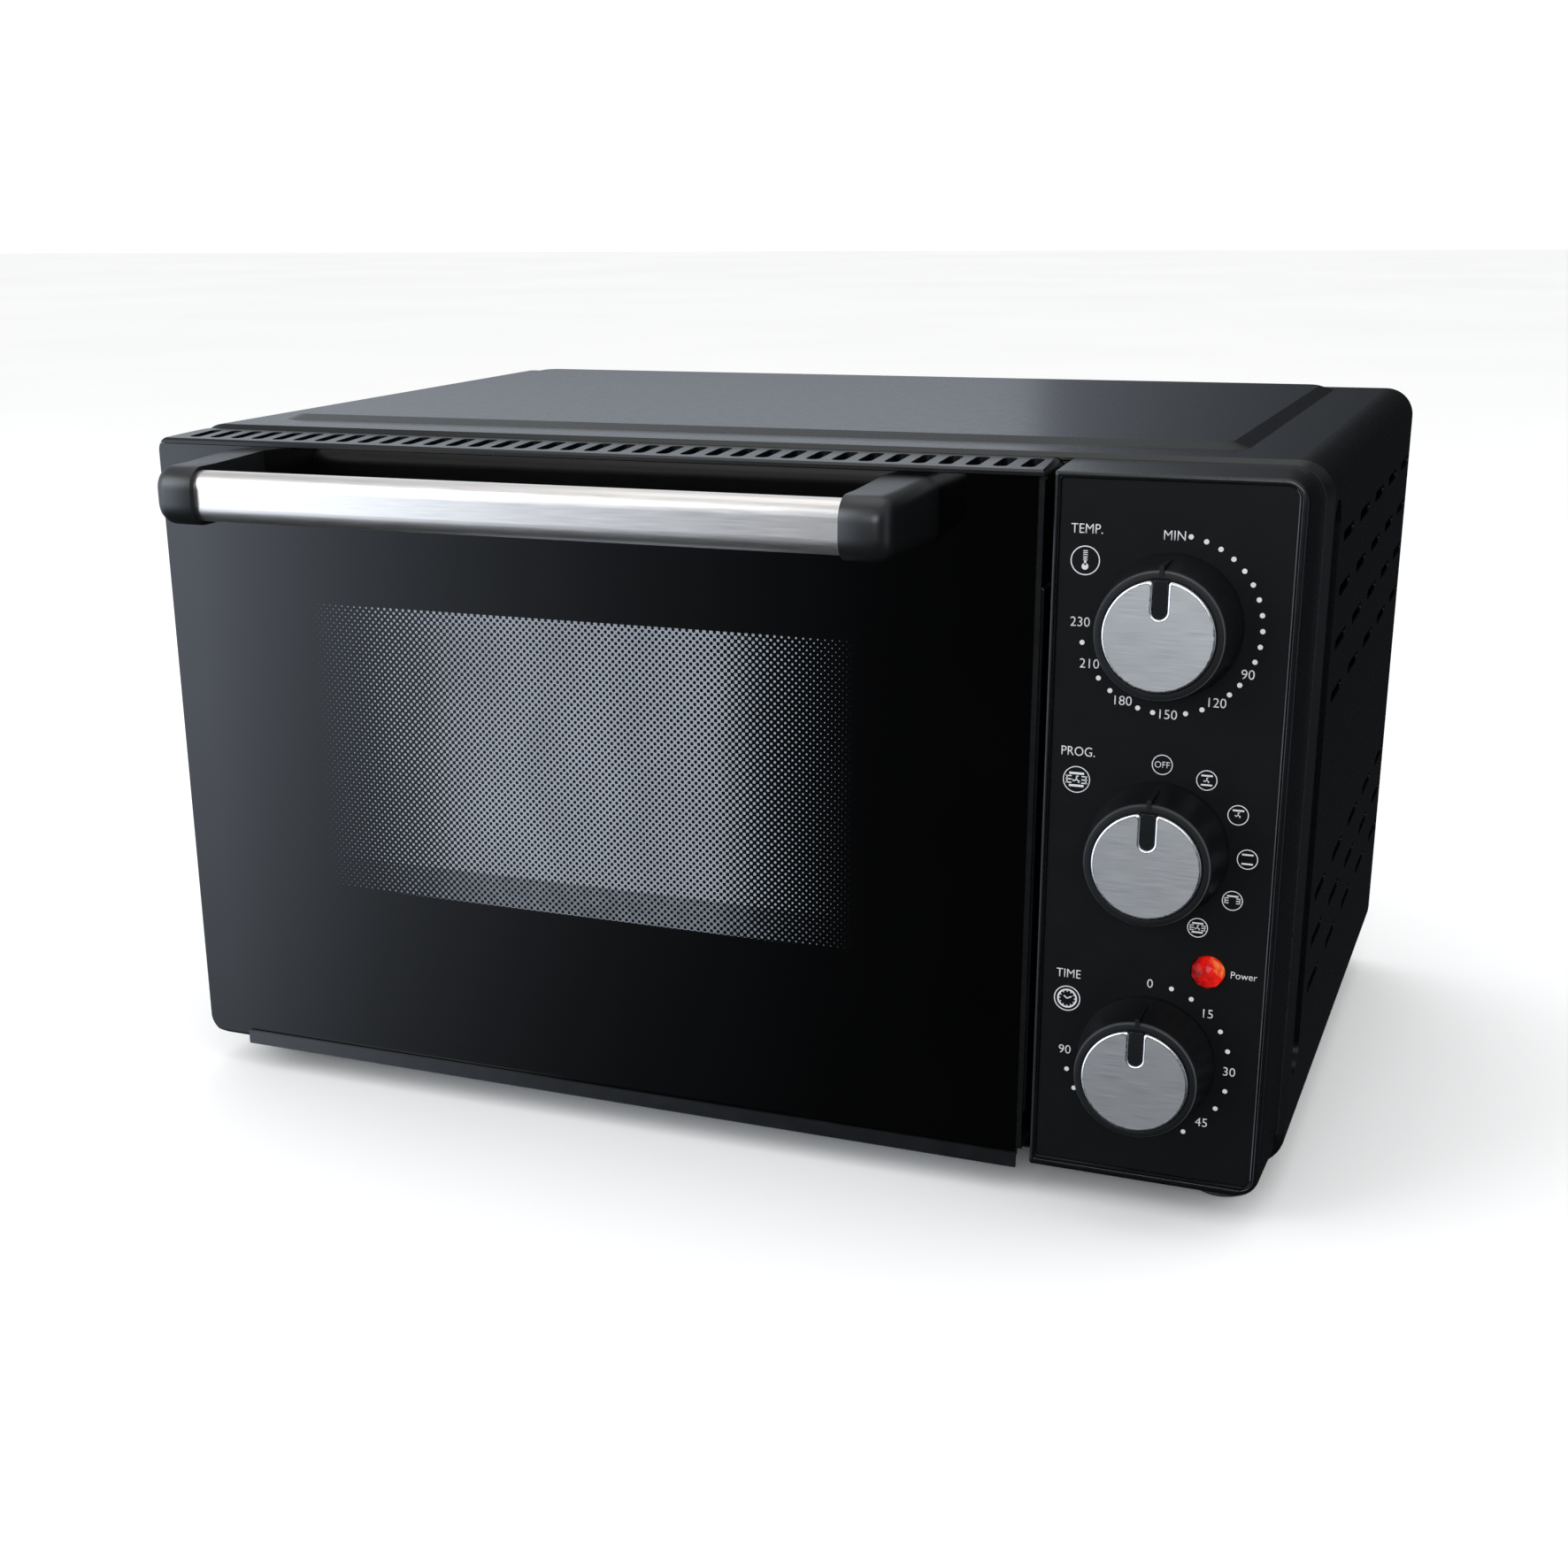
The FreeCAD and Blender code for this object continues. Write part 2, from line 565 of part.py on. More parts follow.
def make_right_bracket():
    """End bracket: a sleeve proud of the tube, and a spigot that fills the tube's end."""
    x = HANDLE_MID + TUBE_HALF
    w = BRACKET_W
    z0 = TUBE_Z0 - BRACKET_RIM
    plan = [(x, 0, z0), (x + w, 0, z0), (x + w - 2, HANDLE_FRONT + 6.5, z0),
            (x + w - 7, HANDLE_FRONT, z0), (x, HANDLE_FRONT, z0)]
    body = polygon(plan, Vector(0, 0, TUBE_Z1 - TUBE_Z0 + 2 * BRACKET_RIM))
    body = body.makeFillet(1.5, [e for e in body.Edges if abs(e.BoundBox.YMax - e.BoundBox.YMin) > 3
                                 and e.BoundBox.XMin > x + 2])
    spigot = prism(tube_section(1.3, x - 14), Vector(15, 0, 0))
    bore = rod_y(HANDLE_SCREW_X[1], HANDLE_SCREW_Z, -15, 1, 1.8)
    return join([body, spigot]).cut(bore)


def make_handle_screws():
    return Part.makeCompound([join([rod_y(x, HANDLE_SCREW_Z, -14, GLASS_T, 1.7),
                                    rod_y(x, HANDLE_SCREW_Z, GLASS_T, GLASS_T + 2.5, 4)])
                              for x in HANDLE_SCREW_X])


# ---- control side -------------------------------------------------------------------------

def make_bezel():
    def section(y, x1, top, low_r, high_r):
        return outline(BEZEL_X0, x1, FOOT_H, top, (1, low_r, high_r, 1), lambda a, b: Vector(a, y, b))
    shell = Part.makeLoft([section(0, 220.3, SEAM_TOP - 1.2, 9, 8),
                           section(SEAM_Y - 0.3, SEAM_HALF, SEAM_TOP, LOW_CORNER_R, CORNER_R)], True, True)
    f = FASCIA
    opening = plate_y(f["x0"], f["x1"], f["z0"], f["z1"], -1, 4, 1, 3, f["radius"], 1)
    step = plate_y(f["x0"] - 1, f["x1"] + 1.2, f["z0"] - 1, f["z1"] + 1.2, -1, 0.5, 1, 4, 6, 1)
    hollow = plate_y(f["x0"] - 0.5, f["x1"] + 0.8, f["z0"] - 1.5, f["z1"] + 0.8, 3, SEAM_Y, 1, 5, 6, 1)
    return less(shell, [opening, step, hollow])


def make_fascia():
    f = FASCIA
    gap = 0.15
    plate = plate_y(f["x0"] + gap, f["x1"] - gap, f["z0"] + gap, f["z1"] - gap, FASCIA_Y,
                    FASCIA_Y + FASCIA_T, 1, 3, f["radius"] - gap, 1)
    cuts = [rod_y(KNOB_X, z, -1, 4, 5.2) for z in KNOBS.values()]
    cuts.append(rod_y(LAMP_X, LAMP_Z, -1, 4, 6.0))
    return less(plate, cuts)


def make_knob(z):
    """Flared skirt, hollow behind, with a boss for the shaft and a raised pointer at the top."""
    back = FASCIA_Y - 0.5
    front = KNOB_FRONT
    skirt = [(0, front + 1), (CAP_R + 0.3, front + 1), (CAP_R + 0.3, front), (20.8, front),
             (21.5, front + 1), (21.9, -12), (22.4, -7), (23.2, -3), (KNOB_BASE_R, -0.6),
             (KNOB_BASE_R, back), (22.3, back), (20.0, -8), (19.4, front + 4), (6, front + 4),
             (6, back - 1), (0, back - 1)]
    body = turned(skirt, KNOB_X, z)
    pointer = plate_y(KNOB_X - 2.2, KNOB_X + 2.2, z + 6.2, z + CAP_R - 0.2, front - 0.6, front + 1.5,
                      2.1, 2.1, 0, 0)
    rib = box(KNOB_X - 0.8, KNOB_X + 0.8, front + 2, back - 0.2, z + 20.5, z + 23.6)
    bore = rod_y(KNOB_X, z, front + 5, 2, SHAFT_R)
    return join([body, pointer, rib]).cut(bore)


def make_knob_cap(z):
    back = KNOB_FRONT + 1
    front = KNOB_FRONT - 1
    disc = turned([(0, back), (CAP_R, back), (CAP_R, front + 0.5), (CAP_R - 0.5, front), (0, front)],
                  KNOB_X, z)
    notch = plate_y(KNOB_X - 2.6, KNOB_X + 2.6, z + 5.8, z + CAP_R + 2, front - 1, back + 1, 2.5, 2.5, 0, 0)
    return disc.cut(notch)


SHAFT_END = 15.0


def make_shaft(z):
    return rod_y(KNOB_X, z, KNOB_FRONT + 5, SHAFT_END, SHAFT_R)


def switch_body(z, half_w, half_h, depth):
    body = box(KNOB_X - half_w, KNOB_X + half_w, 6, 6 + depth, z - half_h, z + half_h)
    neck = rod_y(KNOB_X, z, FASCIA_Y + FASCIA_T, 7, 5)
    return join([body, neck]).cut(rod_y(KNOB_X, z, 0, SHAFT_END + 1, SHAFT_R + RUN_CLEAR))


def make_thermostat(z):
    capsule = rod_y(KNOB_X, z, 29, 34, 11)
    tabs = [box(KNOB_X + dx - 1, KNOB_X + dx + 1, 29, 37, z - 16, z - 14) for dx in (-8, 8)]
    return join([switch_body(z, 17, 17, 23), capsule] + tabs)


def make_selector(z):
    tabs = [box(KNOB_X + dx - 1, KNOB_X + dx + 1, 36, 43, z + 8, z + 12) for dx in (-15, -5, 5, 15)]
    return join([switch_body(z, 20, 16, 31)] + tabs)


def make_timer(z):
    drum = rod_y(KNOB_X, z, 33, 37, 17)
    return join([switch_body(z, 22, 20, 28), drum])


def make_bell(z):
    return turned([(0, 46), (3, 46), (15, 42), (17, 38), (16, 38), (14, 41), (2, 44.5), (2, 37), (0, 37)],
                  KNOB_X, z)


def make_lamp_lens():
    return turned([(0, -3.4), (2.2, -3.1), (4.1, -2.2), (5.3, -0.7), (5.7, 1.0), (5.7, 4.0), (0, 4.0)],
                  LAMP_X, LAMP_Z)


def make_lamp_holder():
    return turned([(0, 4.0), (5.6, 4.0), (5.6, 14.0), (3.0, 20.0), (0, 20.0)], LAMP_X, LAMP_Z)


def make_terminal_block():
    block = box(GLAND_X - 24, GLAND_X - 2, 262, 282, FOOT_H + 1, FOOT_H + 17)
    wells = [rod_z(GLAND_X - 19.5 + 6.5 * n, 272, FOOT_H + 8, FOOT_H + 18, 2.2) for n in range(3)]
    return less(block, wells)


# ---- write every piece --------------------------------------------------------------------

def main():
    os.makedirs("parts", exist_ok=True)
    save("outer_wrap", make_wrap())
    save("back_panel", make_back_panel())
    save("back_panel_screws", make_back_screws())
    save("rear_spacers", make_rear_spacers())
    save("cord_gland", make_cord_gland())
    save("base_pan", make_base_pan())
    runner = make_left_runner()
    save("left_tray_runner", runner)
    save("right_tray_runner", mirrored(runner, (TRAY_X0 + TRAY_X1) / 2))
    for name, (x, y) in FEET.items():
        save("foot_" + name, make_foot(x, y))
    save("front_frame", make_front_frame())
    save("cavity_left_wall", make_left_wall())
    save("cavity_right_wall", make_right_wall())
    save("cavity_ceiling", make_ceiling())
    save("cavity_back_wall", make_back_wall())
    save("left_rack_guides", make_guides(CAV_X0, CAV_X0 + 7))
    save("right_rack_guides", make_guides(CAV_X1 - 7, CAV_X1 - 1.6))
    for name, z in ELEMENT_Z.items():
        save(name, make_elements(z))
    save("element_bushes", make_bushes())
    save("wire_rack", make_rack())
    save("fan_housing", make_fan_housing())
    save("fan_rotor", make_fan_rotor())
    save("fan_motor", make_fan_motor())
    save("spit_drive_socket", make_spit_socket())
    save("spit_motor", make_spit_motor())
    save("spit_support", make_spit_support())
    save("crumb_tray", make_crumb_tray())
    save("door_frame", make_door_frame())
    save("door_top_rail", make_door_top_rail())
    save("door_outer_glass", make_outer_glass())
    save("door_inner_glass", make_inner_glass())
    save("hinge_pins", make_hinge_pins())
    save("left_hinge_bracket", make_hinge_bracket(NOTCHES[0]))
    save("right_hinge_bracket", make_hinge_bracket(NOTCHES[1]))
    save("handle_tube", make_handle_tube())
    bracket = make_right_bracket()
    save("right_handle_bracket", bracket)
    save("left_handle_bracket", mirrored(bracket, HANDLE_MID))
    save("handle_screws", make_handle_screws())
    save("control_bezel", make_bezel())
    save("control_fascia", make_fascia())
    for name, z in KNOBS.items():
        save(name + "_knob", make_knob(z))
        save(name + "_knob_cap", make_knob_cap(z))
        save(name + "_shaft", make_shaft(z))
    save("thermostat", make_thermostat(KNOBS["temperature"]))
    save("selector_switch", make_selector(KNOBS["programme"]))
    save("timer_mechanism", make_timer(KNOBS["timer"]))
    save("timer_bell", make_bell(KNOBS["timer"]))
    save("lamp_lens", make_lamp_lens())
    save("lamp_holder", make_lamp_holder())
    save("terminal_block", make_terminal_block())


main()
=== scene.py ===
import math

import bmesh
import bpy
from mathutils import Matrix, Vector


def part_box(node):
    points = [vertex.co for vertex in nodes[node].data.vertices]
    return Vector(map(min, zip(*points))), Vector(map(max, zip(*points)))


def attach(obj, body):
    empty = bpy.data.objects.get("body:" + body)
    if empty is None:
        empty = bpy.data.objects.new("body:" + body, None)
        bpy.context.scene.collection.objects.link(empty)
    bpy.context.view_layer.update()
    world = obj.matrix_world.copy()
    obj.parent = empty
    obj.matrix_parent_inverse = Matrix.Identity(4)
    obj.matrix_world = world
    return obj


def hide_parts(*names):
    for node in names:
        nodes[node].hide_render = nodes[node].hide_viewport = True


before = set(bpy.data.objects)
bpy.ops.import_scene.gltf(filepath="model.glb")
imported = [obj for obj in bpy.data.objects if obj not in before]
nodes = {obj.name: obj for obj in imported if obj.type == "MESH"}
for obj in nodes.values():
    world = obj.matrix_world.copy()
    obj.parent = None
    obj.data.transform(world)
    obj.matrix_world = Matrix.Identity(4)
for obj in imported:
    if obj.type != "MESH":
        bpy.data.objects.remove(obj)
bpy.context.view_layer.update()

# Looks of a countertop toaster oven.  Metres, +Z up, the door faces -Y.  Sizes that are written
# as plain numbers are millimetres, and MM turns them into metres; the stage is in metres.
MM = 0.001
# Vertices nearer than this are one.
WELD = 1e-6
# Signs of a rectangle's corners, in order round it.
CORNER_SIGNS = ((-1, -1), (1, -1), (1, 1), (-1, 1))
scene = bpy.context.scene


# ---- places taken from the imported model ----

def middle(node):
    """Middle of a CAD node's box."""
    low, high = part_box(node)
    return (low + high) / 2


FASCIA_LOW, FASCIA_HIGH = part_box("control_fascia")
FASCIA_FRONT = FASCIA_LOW.y
DIALS = ("temperature", "programme", "timer")
DIAL_MIDDLE = {name: middle(name + "_shaft") for name in DIALS}
LAMP = middle("lamp_lens")


# ---- camera, stage and light ----

# Turns in degrees; the lens and the sensor in millimetres, as Blender has them.
CAMERA_PLACE = (0.30464, -0.82827, 0.35556)
CAMERA_YAW = 22.979
CAMERA_PITCH = 18.144
CAMERA_ROLL = 0.796
LENS = 48.18
SENSOR = 36.0
SHIFT = (0.0485, 0.0615)
CLIP_START = 0.05

# Soft boxes: place, target, width, height, watts and tint.
SOFTBOXES = {
    "key": ((-1.5, -1.5, 1.25), (0, 0, 0.12), 1.4, 1.2, 16, (0.97, 0.99, 1.0)),
    "top": ((0.0, 0.1, 1.7), (0, 0, 0.2), 1.6, 1.2, 5, (1.0, 1.0, 1.0)),
    "rear": ((-0.65, 1.0, 0.78), (-0.3, 0, 0.25), 1.0, 0.8, 1.3, (0.93, 1.0, 1.08)),
    "front": ((0.45, -2.2, 0.85), (0.1, 0, 0.12), 1.3, 0.6, 15, (0.95, 1.0, 1.05)),
}

# Brightness of the studio as mirrored by glossy surfaces, by compass direction in degrees: 0 is
# in front of the door, 90 is to its left as seen from the front, and 180 is behind the oven.
DOME = ((-180, 0.015), (-112, 0.02), (-100, 0.5), (-85, 0.5), (-60, 0.03), (-25, 0.03),
        (10, 0.010), (15.6, 0.020), (18, 0.04), (20.4, 0.085), (22.9, 0.15), (25.3, 0.24),
        (27.7, 0.39), (30.1, 0.62), (32, 0.88), (33.6, 1.24), (34.8, 1.55), (36.8, 2.3), (45, 2.6),
        (80, 1.2), (120, 0.6), (140, 0.36), (152, 0.25), (159, 0.23), (163, 0.22), (167, 0.20),
        (170, 0.12), (173, 0.075), (177, 0.03), (180, 0.015))
DOME_PEAK = 3.0
DOME_TINT = (0.90, 1.0, 1.16)
# Heights in degrees over which the dome gives way to the ground below it and the ceiling above.
DOME_FOOT = (-38, -5)
DOME_TOP = (14, 50)
GROUND = ((0.9, 1.0, 1.1, 1), 0.02)
CEILING = ((0.97, 1.0, 1.04, 1), 0.45)
# Even light on dull surfaces, and what the camera sees behind the floor.
FILL = ((1, 1, 1, 1), 1.08)
BACKDROP = ((1, 1, 1, 1), 1.05)
FLOOR_HALF = 12.0
FLOOR_TONES = ((0.3, (0.90, 0.90, 0.90)), (0.7, (0.93, 0.93, 0.93)))


def add_object(name, data):
    thing = bpy.data.objects.new(name, data)
    scene.collection.objects.link(thing)
    return thing


def add_camera():
    data = bpy.data.cameras.new("camera")
    data.lens = LENS
    data.sensor_width = SENSOR
    data.shift_x, data.shift_y = SHIFT
    data.clip_start = CLIP_START
    camera = add_object("camera", data)
    turn = (Matrix.Rotation(math.radians(CAMERA_YAW), 4, "Z")
            @ Matrix.Rotation(math.radians(90 - CAMERA_PITCH), 4, "X")
            @ Matrix.Rotation(math.radians(-CAMERA_ROLL), 4, "Z"))
    camera.matrix_world = Matrix.Translation(CAMERA_PLACE) @ turn
    scene.camera = camera


def add_softbox(name, place, target, width, height, watts, tint):
    data = bpy.data.lights.new(name, "AREA")
    data.shape = "RECTANGLE"
    data.size = width
    data.size_y = height
    data.energy = watts
    data.color = tint
    light = add_object(name, data)
    light.location = place
    light.rotation_euler = (Vector(target) - Vector(place)).to_track_quat("-Z", "Y").to_euler()
    light.visible_camera = False


def add_world():
    """White studio for the camera and for dull surfaces; glossy ones mirror the dome."""
    world = bpy.data.worlds.new("studio")
    scene.world = world
    world.use_nodes = True
    world.cycles.sampling_method = "NONE"
    tree = world.node_tree
    tree.nodes.clear()

    def node(kind, **attributes):
        made = tree.nodes.new(kind)
        for key, value in attributes.items():
            setattr(made, key, value)
        return made

    def math_node(operation, first, second):
        made = node("ShaderNodeMath", operation=operation)
        for socket, value in zip(made.inputs, (first, second)):
            if isinstance(value, bpy.types.NodeSocket):
                tree.links.new(value, socket)
            else:
                socket.default_value = value
        return made.outputs[0]

    def background(colour, strength):
        made = node("ShaderNodeBackground")
        made.inputs["Strength"].default_value = strength
        if isinstance(colour, bpy.types.NodeSocket):
            tree.links.new(colour, made.inputs["Color"])
        else:
            made.inputs["Color"].default_value = colour
        return made.outputs[0]

    def mix(factor, first, second):
        made = node("ShaderNodeMixShader")
        tree.links.new(factor, made.inputs[0])
        tree.links.new(first, made.inputs[1])
        tree.links.new(second, made.inputs[2])
        return made.outputs[0]

    def rising(start, end):
        """From 0 to 1 as the direction climbs from start to end, in degrees."""
        made = node("ShaderNodeMapRange", interpolation_type="SMOOTHSTEP")
        made.inputs["From Min"].default_value = math.sin(math.radians(start))
        made.inputs["From Max"].default_value = math.sin(math.radians(end))
        tree.links.new(up, made.inputs["Value"])
        return made.outputs[0]

    split = node("ShaderNodeSeparateXYZ")
    tree.links.new(node("ShaderNodeTexCoord").outputs["Generated"], split.inputs[0])
    east, north, up = split.outputs
    west = math_node("MULTIPLY", east, -1.0)
    south = math_node("MULTIPLY", north, -1.0)
    compass = math_node("ARCTAN2", west, south)
    turn = math_node("ADD", math_node("DIVIDE", compass, 2 * math.pi), 0.5)
    ramp = node("ShaderNodeValToRGB")
    tree.links.new(turn, ramp.inputs[0])
    stops = ramp.color_ramp.elements
    while len(stops) < len(DOME):
        stops.new(0.5)
    for stop, (angle, light) in zip(stops, DOME):
        stop.position = angle / 360 + 0.5
        stop.color = (*(light / DOME_PEAK * part for part in DOME_TINT), 1)

    around = background(ramp.outputs[0], DOME_PEAK)
    above_ground = mix(rising(*DOME_FOOT), background(*GROUND), around)
    mirrored = mix(rising(*DOME_TOP), above_ground, background(*CEILING))
    rays = node("ShaderNodeLightPath")
    lit = mix(rays.outputs["Is Glossy Ray"], background(*FILL), mirrored)
    whole = mix(rays.outputs["Is Camera Ray"], lit, background(*BACKDROP))
    tree.links.new(whole, node("ShaderNodeOutputWorld").inputs["Surface"])


def add_floor():
    mesh = bpy.data.meshes.new("floor")
    corners = [(x * FLOOR_HALF, y * FLOOR_HALF, 0) for x, y in CORNER_SIGNS]
    mesh.from_pydata(corners, [], [(0, 1, 2, 3)])
    floor = add_object("floor", mesh)
    paint = Surface("floor_paint", Roughness=0.9)
    paint.colour(paint.noise(900.0, detail=2), FLOOR_TONES)
    mesh.materials.append(paint.material)
    floor.visible_glossy = False


# ---- materials ----

class Surface:
    """One material: a Principled shader and the nodes that drive it."""

    def __init__(self, name, **sockets):
        self.material = bpy.data.materials.new(name)
        self.material.use_nodes = True
        self.tree = self.material.node_tree
        self.shader = self.tree.nodes["Principled BSDF"]
        for socket, value in sockets.items():
            self.shader.inputs[socket.replace("_", " ")].default_value = value

    def node(self, kind, values=None, **attributes):
        """New node; values are sockets' numbers or the outputs that feed them."""
        made = self.tree.nodes.new(kind)
        for key, value in attributes.items():
            setattr(made, key, value)
        for key, value in (values or {}).items():
            if isinstance(value, bpy.types.NodeSocket):
                self.tree.links.new(value, made.inputs[key])
            else:
                made.inputs[key].default_value = value
        return made

    def feed(self, socket, output):
        self.tree.links.new(output, self.shader.inputs[socket])

    def place(self, stretch=(1, 1, 1)):
        where = self.node("ShaderNodeTexCoord").outputs["Object"]
        return self.node("ShaderNodeMapping", {"Vector": where, "Scale": stretch}).outputs[0]

    def axes(self):
        where = self.node("ShaderNodeTexCoord").outputs["Object"]
        return self.node("ShaderNodeSeparateXYZ", {0: where}).outputs

    def noise(self, size, stretch=(1, 1, 1), detail=3.0):
        """Noise with features about size millimetres across."""
        values = {"Vector": self.place(stretch), "Scale": 1000.0 / size, "Detail": detail}
        return self.node("ShaderNodeTexNoise", values).outputs[0]

    def cells(self, size):
        """Cells about size millimetres across, each of its own random colour."""
        values = {"Vector": self.place(), "Scale": 1000.0 / size}
        return self.node("ShaderNodeTexVoronoi", values).outputs["Color"]

    def math(self, operation, first, second=0.0):
        return self.node("ShaderNodeMath", {0: first, 1: second}, operation=operation).outputs[0]

    def span(self, value, low, high, start=0.0, end=1.0):
        """Maps start..end to low..high."""
        values = {"Value": value, "From Min": start, "From Max": end, "To Min": low, "To Max": high}
        return self.node("ShaderNodeMapRange", values).outputs[0]

    def ramp(self, value, stops):
        made = self.node("ShaderNodeValToRGB", {0: value})
        elements = made.color_ramp.elements
        while len(elements) < len(stops):
            elements.new(0.5)
        for element, (position, tone) in zip(elements, stops):
            element.position = position
            element.color = (*tone, 1)
        return made.outputs[0]

    def mix(self, factor, first, second):
        """Colour between first and second; 6 and 7 are the node's colour inputs."""
        values = {"Factor": factor, 6: first, 7: second}
        return self.node("ShaderNodeMix", values, data_type="RGBA").outputs[2]

    def colour(self, value, stops):
        self.feed("Base Color", self.ramp(value, stops))

    def roughness(self, value, low, high):
        """Roughness from low to high over the middle part of a noise."""
        self.feed("Roughness", self.span(value, low, high, 0.3, 0.7))

    def bumps(self, *layers):
        """Each layer is a height output and its depth in millimetres."""
        normal = None
        for height, depth in layers:
            values = {"Height": height, "Distance": depth * MM, "Strength": 1.0}
            if normal is not None:
                values["Normal"] = normal
            normal = self.node("ShaderNodeBump", values).outputs[0]
        self.feed("Normal", normal)


WHITE = (1.0, 1.0, 1.0)
COOL = (0.90, 1.0, 1.15)
WARM = (1.05, 1.0, 0.95)


def tones(grey, spread, tint=WHITE):
    """Two stops of one colour, darker and lighter by spread."""
    return ((0.3, [grey * (1 - spread) * part for part in tint]),
            (0.7, [grey * (1 + spread) * part for part in tint]))


# Paints and moulded plastics: grey, roughness, size of the grain, depth of the grain, depth of
# the long waves, and specular level.
BLACKS = {
    "black_enamel": (0.0022, 0.27, 0.35, 0.0008, 0.003, 0.5),
    "black_plastic": (0.0025, 0.28, 0.30, 0.0012, 0.002, 0.5),
    "satin_black": (0.004, 0.38, 0.30, 0.0010, 0.001, 0.75),
    # The next black is much lighter than the rest: it is a painted highlight, given to edges that
    # should look as if they catch the light.
    "painted_highlight_black": (0.045, 0.40, 0.30, 0.0008, 0.001, 0.5),
    "skirt_black": (0.004, 0.48, 0.30, 0.0008, 0.001, 0.3),
    "fascia_print": (0.0035, 0.46, 0.45, 0.002, 0.003, 0.14),
    "gloss_black": (0.008, 0.16, 0.5, 0.001, 0.004, 0.5),
}


def coated_black(name, grey, rough, grain, grain_depth, wave_depth, specular):
    """Black paint or moulded plastic: faint mottling, fine grain and long waves."""
    skin = Surface(name, Specular_IOR_Level=specular)
    skin.colour(skin.noise(14.0), tones(grey, 0.09, COOL))
    skin.roughness(skin.noise(5.0, detail=5), rough - 0.02, rough + 0.02)
    skin.bumps((skin.noise(9.0, detail=1), wave_depth), (skin.noise(grain, detail=2), grain_depth))
    return skin.material


def rubber():
    """Dull black rubber with a fine pitted skin."""
    skin = Surface("rubber")
    skin.colour(skin.noise(3.0, detail=5), tones(0.02, 0.35))
    skin.roughness(skin.noise(1.5), 0.72, 0.86)
    skin.bumps((skin.noise(0.5, detail=4), 0.02))
    return skin.material


# Dot print on the door glass, in metres: its left and right ends, its bottom and top, and the
# height below which its ink is darker and more uneven.
PRINT_X = (-0.160, 0.067)
PRINT_Z = (0.087, 0.204)
PRINT_FOOT = 0.100
# Spacing of the dots along a row, and softness of their edges as a share of the dot wave.
DOT_PITCH = 2.75
DOT_EDGE = 0.04
# How the print grows from small silver dots (-1) to silver with small dark dots (+1), by place
# across it, in millimetres.
PRINT_DENSITY = ((-160, -1.03), (-150, -0.92), (-140, -0.78), (-123, -0.38), (-99, -0.02),
                 (-80, 0.1), (-63, 0.14), (0, 0.14), (14, 0.06), (24, -0.12), (35, -0.42),
                 (46, -0.66), (56, -0.86), (67, -1.03))
DENSITY_LIMIT = 1.05


def printed_glass():
    """Black-backed door glass with a silver dot print that fades out to both sides."""
    skin = Surface("printed_glass", Coat_Weight=1.0, Coat_Roughness=0.015, Coat_IOR=1.5,
                   Specular_IOR_Level=0.0)
    x, _, z = skin.axes()
    turn = 2 * math.pi / (DOT_PITCH * MM)
    waves = [skin.math("COSINE", skin.math("MULTIPLY", place, turn)) for place in (x, z)]
    wave = skin.math("MULTIPLY", *waves)
    start, end = PRINT_X
    stops = []
    for at, level in PRINT_DENSITY:
        grey = (level + DENSITY_LIMIT) / (2 * DENSITY_LIMIT)
        stops.append(((at * MM - start) / (end - start), (grey, grey, grey)))
    tone = skin.ramp(skin.span(x, 0.0, 1.0, start, end), stops)
    density = skin.span(tone, -DENSITY_LIMIT, DENSITY_LIMIT)
    silver = skin.span(skin.math("SUBTRACT", density, wave), 0.0, 1.0, -DOT_EDGE, DOT_EDGE)
    for place, (low, high) in ((x, PRINT_X), (z, PRINT_Z)):
        past_low = skin.math("GREATER_THAN", place, low)
        below_high = skin.math("LESS_THAN", place, high)
        silver = skin.math("MULTIPLY", silver, skin.math("MULTIPLY", past_low, below_high))
    cloud = skin.ramp(skin.noise(26.0, (1, 1, 0.5)), tones(0.22, 0.10, COOL))
    shade = skin.ramp(skin.noise(5.0), tones(0.12, 0.15, COOL))
    ink = skin.mix(skin.math("GREATER_THAN", z, PRINT_FOOT), shade, cloud)
    backing = skin.ramp(skin.noise(40.0), tones(0.0004, 0.3))
    skin.feed("Base Color", skin.mix(silver, backing, ink))
    skin.feed("Roughness", skin.span(silver, 0.25, 0.55))
    return skin.material


def clear_glass():
    """Faintly green glass with a slight haze, as on the inside of the door."""
    skin = Surface("clear_glass", Transmission_Weight=0.92, IOR=1.5)
    skin.colour(skin.noise(60.0), ((0.3, (0.86, 0.92, 0.90)), (0.7, (0.93, 0.96, 0.95))))
    skin.roughness(skin.noise(18.0, detail=5), 0.02, 0.06)
    return skin.material


def brushed(name, grey, rough, squeeze, streak, depth, aniso=0.0, tint=WHITE):
    """Metal brushed along X, in streaks about streak wide and 1 / squeeze times as long."""
    skin = Surface(name, Metallic=1.0, Anisotropic=aniso)
    lines = skin.noise(streak, (squeeze, 1, 1), detail=6)
    broad = skin.noise(22.0, (0.5 + 0.5 * squeeze, 1, 1), detail=2)
    fine_tone = skin.ramp(lines, tones(grey, 0.10, tint))
    broad_tone = skin.ramp(broad, tones(grey, 0.05, tint))
    skin.feed("Base Color", skin.mix(0.35, fine_tone, broad_tone))
    skin.roughness(lines, rough - 0.03, rough + 0.03)
    skin.bumps((lines, depth))
    if aniso:
        tangent = skin.node("ShaderNodeTangent", direction_type="RADIAL", axis="X")
        skin.feed("Tangent", tangent.outputs[0])
    return skin.material


